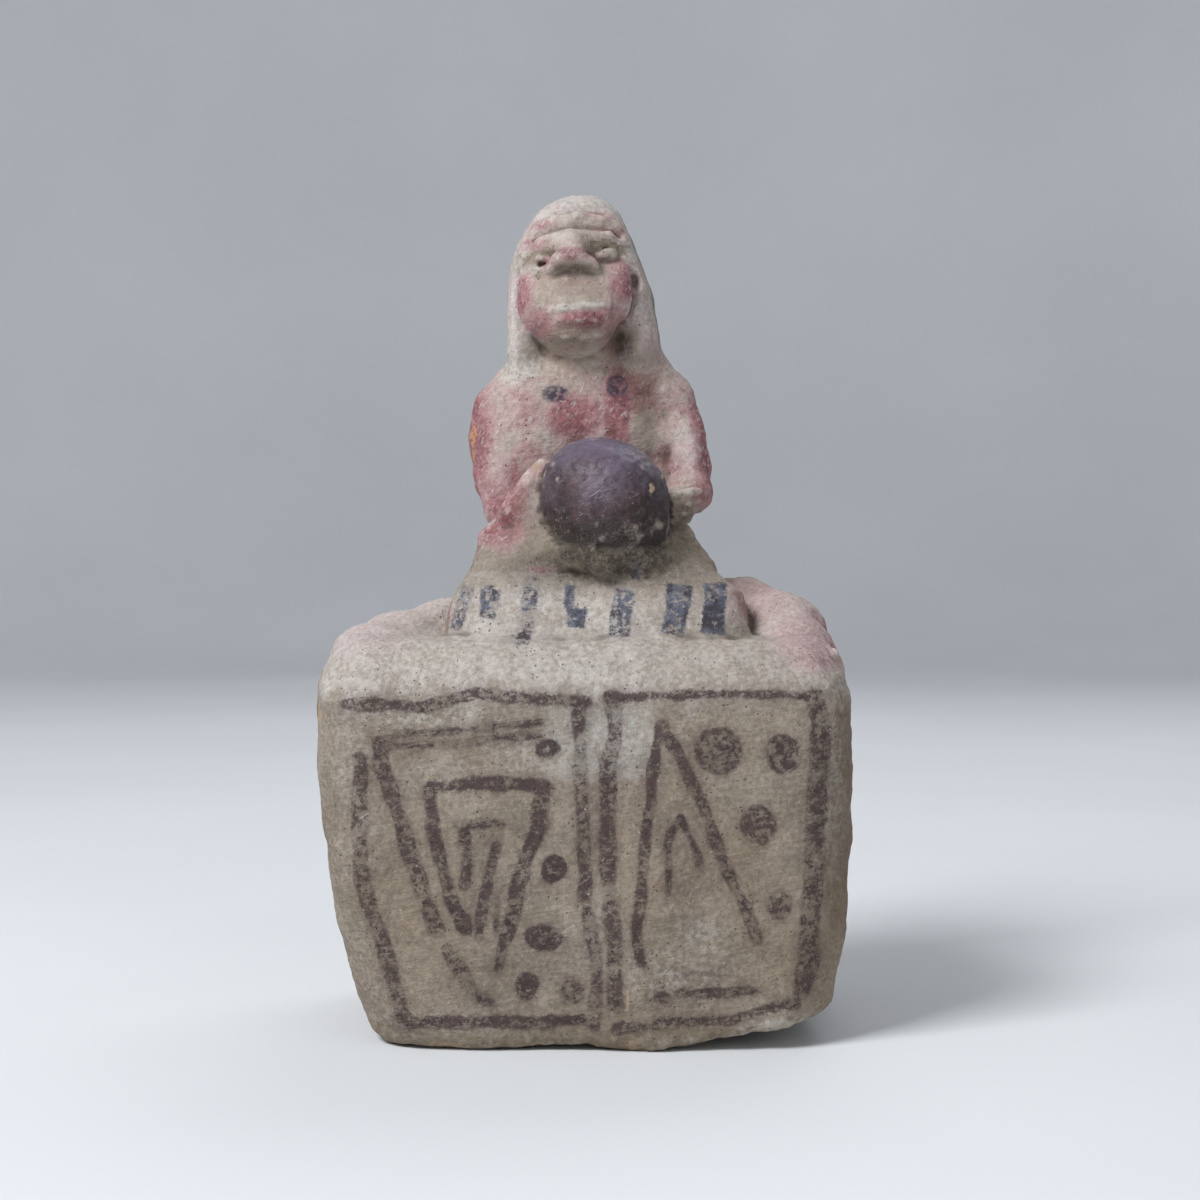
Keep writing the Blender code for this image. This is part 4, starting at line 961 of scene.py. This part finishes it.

    # burnished plum cap with ashy speckle low down, lilac patches and a painted sheen on top, and painted shade on its
    # right side and low down
    plum = t.field("plum")
    ash = t.field("ash")
    plums = t.mix(t.ramp(n_mid, 0.35, 0.65), lin(54, 38, 38), lin(82, 60, 62))
    speck = t.ramp(t.math("ADD", t.math("ADD", t.math("MULTIPLY", n_wear, 0.7), t.math("MULTIPLY", n_grain, 0.5)), t.math("MULTIPLY", ash, 0.16)), 0.76, 0.90, 0.0, 0.55)
    plums = t.mix(t.math("MULTIPLY", ash, t.ramp(n_wear, 0.40, 0.58, 0.20, 0.85)), plums, lin(48, 40, 36))
    plums = t.mix(speck, plums, lin(150, 142, 134))
    plums = t.mix(t.math("MULTIPLY", ash, t.ramp(t.math("ADD", t.math("MULTIPLY", n_patch, 0.6), t.math("MULTIPLY", n_wear, 0.5)), 0.58, 0.76, 0.0, 0.55)), plums, lin(126, 119, 108))
    # lilac patches away from the ash: painted sheen mixed into the cap's own tone
    plums = t.mix(t.math("MULTIPLY", t.math("SUBTRACT", 1.0, ash), t.ramp(t.math("ADD", t.math("MULTIPLY", n_big, 0.5), t.math("MULTIPLY", n_wear, 0.5)), 0.42, 0.60, 0.0, 0.60)), plums, lin(120, 110, 126))
    plums = t.mix(t.math("MULTIPLY", t.field("shade"), t.ramp(t.math("ADD", t.math("MULTIPLY", n_wear, 0.6), t.math("MULTIPLY", n_small, 0.4)), 0.38, 0.58, 0.90, 0.45)), plums, lin(40, 31, 30))
    # painted highlight: lilac sheen on top of the cap
    plums = t.mix(t.math("MULTIPLY", t.field("sheen"), t.ramp(n_wear, 0.36, 0.60, 0.60, 0.25)), plums, lin(126, 120, 142))
    body = t.mix(plum, body, plums)

    # soot-black slip on the back of the hair
    soot = t.math("MULTIPLY", t.field("soot"), t.ramp(t.math("ADD", n_wear, t.math("MULTIPLY", n_grain, 0.2)), 0.38, 0.58, 0.55, 0.96))
    body = t.mix(soot, body, t.mix(n_mid, lin(44, 40, 42), lin(72, 66, 68)))

    # ground-in soil: crust under the cap and in pores; a blackish patch just under the cap; darker in fine hollows and
    # broad recesses; paler on proud spots
    crust = t.math("MULTIPLY", t.field("crust"), t.ramp(t.math("ADD", t.math("MULTIPLY", n_small, 0.6), t.math("MULTIPLY", n_wear, 0.5)), 0.40, 0.62, 0.15, 0.85))
    soil = t.mix(t.ramp(n_fine, 0.42, 0.62), lin(44, 38, 34), lin(94, 86, 74))
    soil = t.mix(t.ramp(t.field("crust"), 0.80, 1.0, 0.0, 0.8), soil, lin(112, 103, 88))
    body = t.mix(crust, body, soil)
    black = t.math("MULTIPLY", t.field("black"), t.ramp(t.math("ADD", t.math("ADD", t.math("MULTIPLY", n_wear, 0.5), t.math("MULTIPLY", n_fine, 0.3)), t.math("MULTIPLY", n_mid, 0.2)), 0.44, 0.58, 0.95, 0.18))
    body = t.mix(black, body, t.mix(t.ramp(n_grain, 0.4, 0.6), lin(36, 31, 29), lin(62, 54, 48)))
    # darker in fine hollows and broad recesses
    hollow = t.ramp(t.math("ADD", t.math("ADD", t.math("MULTIPLY", cav, 0.8), t.math("MULTIPLY", cavb, 0.8)), t.math("MULTIPLY", t.math("SUBTRACT", n_small, 0.5), 0.9)), 0.40, 1.5, 0.0, 0.62)
    body = t.mix(hollow, body, lin(84, 76, 64))
    proud = t.ramp(t.math("SUBTRACT", t.math("SUBTRACT", t.math("MULTIPLY", t.math("SUBTRACT", n_small, 0.5), 1.2), cav), t.math("ADD", t.math("MULTIPLY", cavb, 0.3), t.math("MULTIPLY", t.field("crust"), 1.5))), 0.7, 1.6, 0.0, 0.34)
    body = t.mix(proud, body, lin(206, 198, 190))
    pores = t.cells(t.mapped(co, shift=(3, 9, 1)), 0.62)
    pore = t.math("MULTIPLY", t.ramp(pores["Distance"], 0.05, 0.17, 1.0, 0.0), t.ramp(n_patch, 0.40, 0.60))
    body = t.mix(t.math("MULTIPLY", pore, 0.75), body, lin(62, 56, 50))
    flecks = t.cells(t.mapped(co, shift=(13, 2, 8)), 0.42)
    fleck = t.math("MULTIPLY", t.ramp(flecks["Distance"], 0.04, 0.15, 1.0, 0.0), t.ramp(n_mid, 0.50, 0.66))
    body = t.mix(t.math("MULTIPLY", fleck, 0.55), body, lin(208, 204, 198))
    scratch_n = t.noise(t.mapped(t.mapped(co, turn=(0, 33, 0)), scale=(0.12, 0.5, 2.6)), 1.0, 2, 0.5, 0.2)
    scratch_m = t.noise(t.mapped(t.mapped(co, turn=(0, -21, 0)), scale=(0.14, 0.5, 2.8)), 1.0, 2, 0.5, 0.2)
    scratch = t.math("MULTIPLY", t.math("MAXIMUM", t.ramp(scratch_n, 0.68, 0.74), t.ramp(scratch_m, 0.70, 0.76)), t.ramp(n_big, 0.42, 0.58))
    body = t.mix(t.math("MULTIPLY", scratch, 0.42), body, lin(196, 190, 182))
    lines = t.cells(t.mapped(t.mix_vector(co, n_mid), shift=(7, 1, 4)), 0.050, feature="DISTANCE_TO_EDGE")["Distance"]
    crack = t.math("MULTIPLY", t.ramp(lines, 0.002, 0.009, 1.0, 0.0), t.ramp(t.math("ADD", n_huge, t.math("MULTIPLY", n_patch, 0.3)), 0.72, 0.80))
    body = t.mix(t.math("MULTIPLY", crack, 0.22), body, lin(78, 68, 58))
    dust = t.ramp(t.math("ADD", t.math("MULTIPLY", n_grain, 0.6), t.math("MULTIPLY", n_small, 0.4)), 0.40, 0.64, 0.88, 1.10)
    grey = t.node("ShaderNodeCombineColor")
    for i in range(3):
        t.put(grey.inputs[i], dust)
    body = t.blend(1.0, body, grey.outputs[0], "MULTIPLY")

    # chips down to the orange clay
    bare = t.ramp(t.math("ADD", t.field("bare"), t.math("MULTIPLY", t.math("SUBTRACT", n_small, 0.5), 0.5)), 0.42, 0.62)
    body = t.mix(bare, body, t.mix(n_small, lin(196, 146, 112), lin(150, 108, 82)))
    nick = t.ramp(t.math("ADD", t.field("nick"), t.math("MULTIPLY", t.math("SUBTRACT", n_small, 0.5), 0.6)), 0.42, 0.62, 0.0, 0.85)
    body = t.mix(nick, body, t.mix(n_small, lin(188, 166, 140), lin(140, 118, 96)))
    if lift:
        body = t.mix(lift, body, lin(120, 110, 98))

    # finish
    rough = t.math("ADD", 0.80, t.math("MULTIPLY", t.math("SUBTRACT", n_small, 0.5), 0.22))
    rough = t.math("SUBTRACT", rough, t.math("MULTIPLY", ink_on, 0.10))
    shine = t.math("MULTIPLY", plum, t.math("SUBTRACT", 1.0, t.math("MAXIMUM", speck, t.math("MULTIPLY", ash, 0.7))))
    rough = t.math("SUBTRACT", rough, t.math("MULTIPLY", shine, 0.50))
    rough = t.math("ADD", rough, t.math("MULTIPLY", t.math("MAXIMUM", crust, pore), 0.12))

    height = t.math("MULTIPLY", n_grain, 0.11)
    height = t.math("ADD", height, t.math("MULTIPLY", n_small, 0.22))
    height = t.math("ADD", height, t.math("MULTIPLY", brush, 0.20))
    height = t.math("ADD", height, t.math("MULTIPLY", n_wear, 0.16))
    height = t.math("SUBTRACT", height, t.math("MULTIPLY", pore, 0.34))
    height = t.math("ADD", height, t.math("MULTIPLY", fleck, 0.05))
    height = t.math("ADD", height, t.math("MULTIPLY", ink_on, 0.05))
    height = t.math("SUBTRACT", height, t.math("MULTIPLY", scratch, 0.10))
    height = t.math("ADD", height, t.math("MULTIPLY", crust, t.math("MULTIPLY", n_grain, 0.7)))
    height = t.math("SUBTRACT", height, t.math("MULTIPLY", bare, 0.18))
    height = t.math("SUBTRACT", height, t.math("MULTIPLY", crack, 0.08))
    bump = t.node("ShaderNodeBump")
    bump.inputs["Strength"].default_value = 0.85 * relief
    bump.inputs["Distance"].default_value = 0.0013
    t.put(bump.inputs["Height"], height)

    shader = t.node("ShaderNodeBsdfPrincipled")
    t.put(shader.inputs["Base Color"], body)
    t.put(shader.inputs["Roughness"], t.math("MINIMUM", rough, 0.97))
    shader.inputs["Specular IOR Level"].default_value = 0.28
    t.put(shader.inputs["Normal"], bump.outputs[0])
    out = t.node("ShaderNodeOutputMaterial")
    t.put(out.inputs["Surface"], shader.outputs[0])
    return mat


CREAM = clay_material("slip_cream", lin(154, 142, 127), lin(126, 114, 100))
FLESH = clay_material("slip_flesh", lin(192, 181, 172), lin(168, 153, 142))
DARK = clay_material("slip_dark", lin(186, 176, 168), lin(160, 148, 138))
CLAYM = clay_material("clay_bare", lin(150, 138, 120), lin(118, 104, 86), lift=0.15, relief=1.1)
PLUM = clay_material("slip_plum", lin(150, 140, 130), lin(120, 110, 100), relief=0.7)
FINISH = {
    "slip_cream": CREAM, "slip_red_worn": FLESH, "slip_plum": PLUM, "slip_dark": DARK, "bare_clay": CLAYM,
}
SLOT = {s["node"]: s["material_slot"] for s in frame["record"]["subparts"]}

# =====================================================================================================================
# 5. the pieces: each patch of skin is closed into its own shell of clay
# =====================================================================================================================
THICK = {"base": 1.6, "torso": 0.9, "head": 0.6, "hair": 0.5, "brow": 0.5, "eye": 0.4, "nose": 0.5, "lip": 0.4, "arm": 0.8,
         "hand": 0.4, "leg": 0.9, "foot": 0.5, "small": 0.5, "mantle": 0.8, "nape": 0.4, "cap": 0.9}
EASE = np.clip(1 + 5.0 * CAV_FINE + 0.5 * np.minimum(CAV_BROAD, 0) - 2.5 * np.maximum(CAV_FINE, 0), 0.25, 1.0)
FN = face_normals(P, Q)
FN /= np.linalg.norm(FN, axis=1, keepdims=True) + 1e-12


def make_piece(name, faces):
    q = Q[faces]
    used, local = np.unique(q, return_inverse=True)
    q = local.reshape(-1, 4)
    n = len(used)
    thick = next(v for k, v in THICK.items() if name.startswith(k))
    outer = P[used]
    inner = outer - N[used] * (thick * EASE[used])[:, None]
    inner[:, 2] = np.where(outer[:, 2] < thick + 0.4, np.maximum(inner[:, 2], 0.4), inner[:, 2])
    # rim edges belong to one face of the patch only
    e = np.stack([q, np.roll(q, -1, 1)], 2).reshape(-1, 2)
    key = np.sort(e, 1)
    key = key[:, 0].astype(np.int64) * n + key[:, 1]
    _, first, count = np.unique(key, return_index=True, return_counts=True)
    rim = e[first[count == 1]]
    walls = np.stack([rim[:, 1], rim[:, 0], rim[:, 0] + n, rim[:, 1] + n], 1)
    allq = np.concatenate([q, q[:, ::-1] + n, walls])
    pts = np.concatenate([outer, inner]) / 1000.0
    mesh = bpy.data.meshes.new(name)
    mesh.vertices.add(len(pts))
    mesh.vertices.foreach_set("co", pts.astype(F4).ravel())
    mesh.loops.add(allq.size)
    mesh.loops.foreach_set("vertex_index", allq.astype(np.int32).ravel())
    mesh.polygons.add(len(allq))
    mesh.polygons.foreach_set("loop_start", np.arange(0, allq.size, 4, dtype=np.int32))
    mesh.polygons.foreach_set("loop_total", np.full(len(allq), 4, np.int32))
    mesh.update(calc_edges=True)
    mesh.polygons.foreach_set("use_smooth", np.ones(len(allq), bool))
    for key_name, values in A.items():
        v = values[used].astype(F4)
        attribute = mesh.attributes.new(key_name, "FLOAT", "POINT")
        attribute.data.foreach_set("value", np.concatenate([v, v]))
    normals = np.concatenate([
        N[used][q].reshape(-1, 3),
        -N[used][q[:, ::-1]].reshape(-1, 3),
        np.repeat(np.cross(pts[walls[:, 2]] - pts[walls[:, 0]], pts[walls[:, 3]] - pts[walls[:, 1]]), 4, axis=0),
    ])
    normals /= np.linalg.norm(normals, axis=1, keepdims=True) + 1e-12
    mesh.normals_split_custom_set(normals.astype(F4))
    mesh.validate(clean_customdata=False)
    piece = bpy.data.objects.new(name, mesh)
    bpy.context.scene.collection.objects.link(piece)
    return piece


PIECES = {}
for i, node in enumerate(LABELS):
    faces = np.nonzero(label == i)[0]
    if not len(faces):
        print("EMPTY PIECE", node)
        continue
    piece = make_piece("clay_" + node if False else node + "_skin", faces)
    piece.data.materials.append(FINISH[SLOT[node]])
    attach(piece, "root")
    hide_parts(node)
    PIECES[node] = piece
    print("piece", node, len(faces))
print("points", len(P), "quads", len(Q))

# =====================================================================================================================
# 6. floor, light, camera
# =====================================================================================================================


def sweep_floor():
    """Pale round floor whose rim curves up like a studio cove, so no edge shows from any side."""
    flat, bend_r, top, around = 1.5, 0.6, 2.4, 96
    profile = [(0.25 * i, 0.0) for i in range(1, int(flat / 0.25) + 1)]
    for i in range(1, 13):
        a = math.pi / 2 * i / 12
        profile.append((flat + bend_r * math.sin(a), bend_r - bend_r * math.cos(a)))
    profile.append((flat + bend_r, top))
    verts, faces = [(0.0, 0.0, 0.0)], []
    for r, h in profile:
        for k in range(around):
            a = 2 * math.pi * k / around
            verts.append((r * math.cos(a), r * math.sin(a), h))
    for k in range(around):
        faces.append((0, 1 + k, 1 + (k + 1) % around))
    for i in range(len(profile) - 1):
        for k in range(around):
            a, b = 1 + i * around + k, 1 + i * around + (k + 1) % around
            faces.append((a, a + around, b + around, b))
    mesh = bpy.data.meshes.new("floor_sheet")
    mesh.from_pydata(verts, [], faces)
    for p in mesh.polygons:
        p.use_smooth = True
    obj = bpy.data.objects.new("floor_sheet", mesh)
    bpy.context.scene.collection.objects.link(obj)
    mat = bpy.data.materials.new("floor_pale")
    mat.use_nodes = True
    t = Net(mat)
    co = t.node("ShaderNodeTexCoord").outputs["Object"]
    tone = t.noise(co, 3.0, 3)
    shader = t.node("ShaderNodeBsdfPrincipled")
    t.put(shader.inputs["Base Color"], t.mix(t.ramp(tone, 0.3, 0.7), (0.70, 0.71, 0.72, 1), (0.74, 0.75, 0.76, 1)))
    shader.inputs["Roughness"].default_value = 0.9
    out = t.node("ShaderNodeOutputMaterial")
    t.put(out.inputs["Surface"], shader.outputs[0])
    mesh.materials.append(mat)
    return obj


sweep_floor()


def area_light(name, where, aim, size, power, colour):
    data = bpy.data.lights.new(name, "AREA")
    data.shape = "RECTANGLE"
    data.size, data.size_y = size
    data.energy = power
    data.color = colour
    obj = bpy.data.objects.new(name, data)
    obj.location = where
    obj.rotation_euler = (Vector(aim) - Vector(where)).to_track_quat("-Z", "Y").to_euler()
    bpy.context.scene.collection.objects.link(obj)
    return obj


area_light("window", (-0.80, -0.80, 1.20), (0, 0, 0.11), (0.55, 0.55), 25.0, (0.95, 0.97, 1.0))
area_light("fill", (0.9, -1.1, 0.6), (0, 0, 0.1), (1.0, 1.0), 2.0, (0.98, 0.98, 1.0))
area_light("back", (0.3, 0.8, 1.0), (0, 0, 0.12), (0.9, 0.5), 4.0, (0.95, 0.97, 1.0))

world = bpy.data.worlds.new("studio")
bpy.context.scene.world = world
world.use_nodes = True
world.node_tree.nodes["Background"].inputs[0].default_value = (0.80, 0.86, 0.95, 1.0)
world.node_tree.nodes["Background"].inputs[1].default_value = 0.26
bpy.context.scene.view_settings.view_transform = "Standard"

camera_data = bpy.data.cameras.new("camera")
camera = bpy.data.objects.new("camera", camera_data)
bpy.context.scene.collection.objects.link(camera)
camera_data.sensor_width = 36.0
camera_data.lens = 18.0 * 2200.0 / 600.0
camera.location = (0.0039, -0.534, 0.1136)
drop = math.atan(52.0 / 2200.0)
camera.rotation_euler = (math.pi / 2 - drop, 0, 0)
camera_data.clip_start, camera_data.clip_end = 0.02, 20
bpy.context.scene.camera = camera
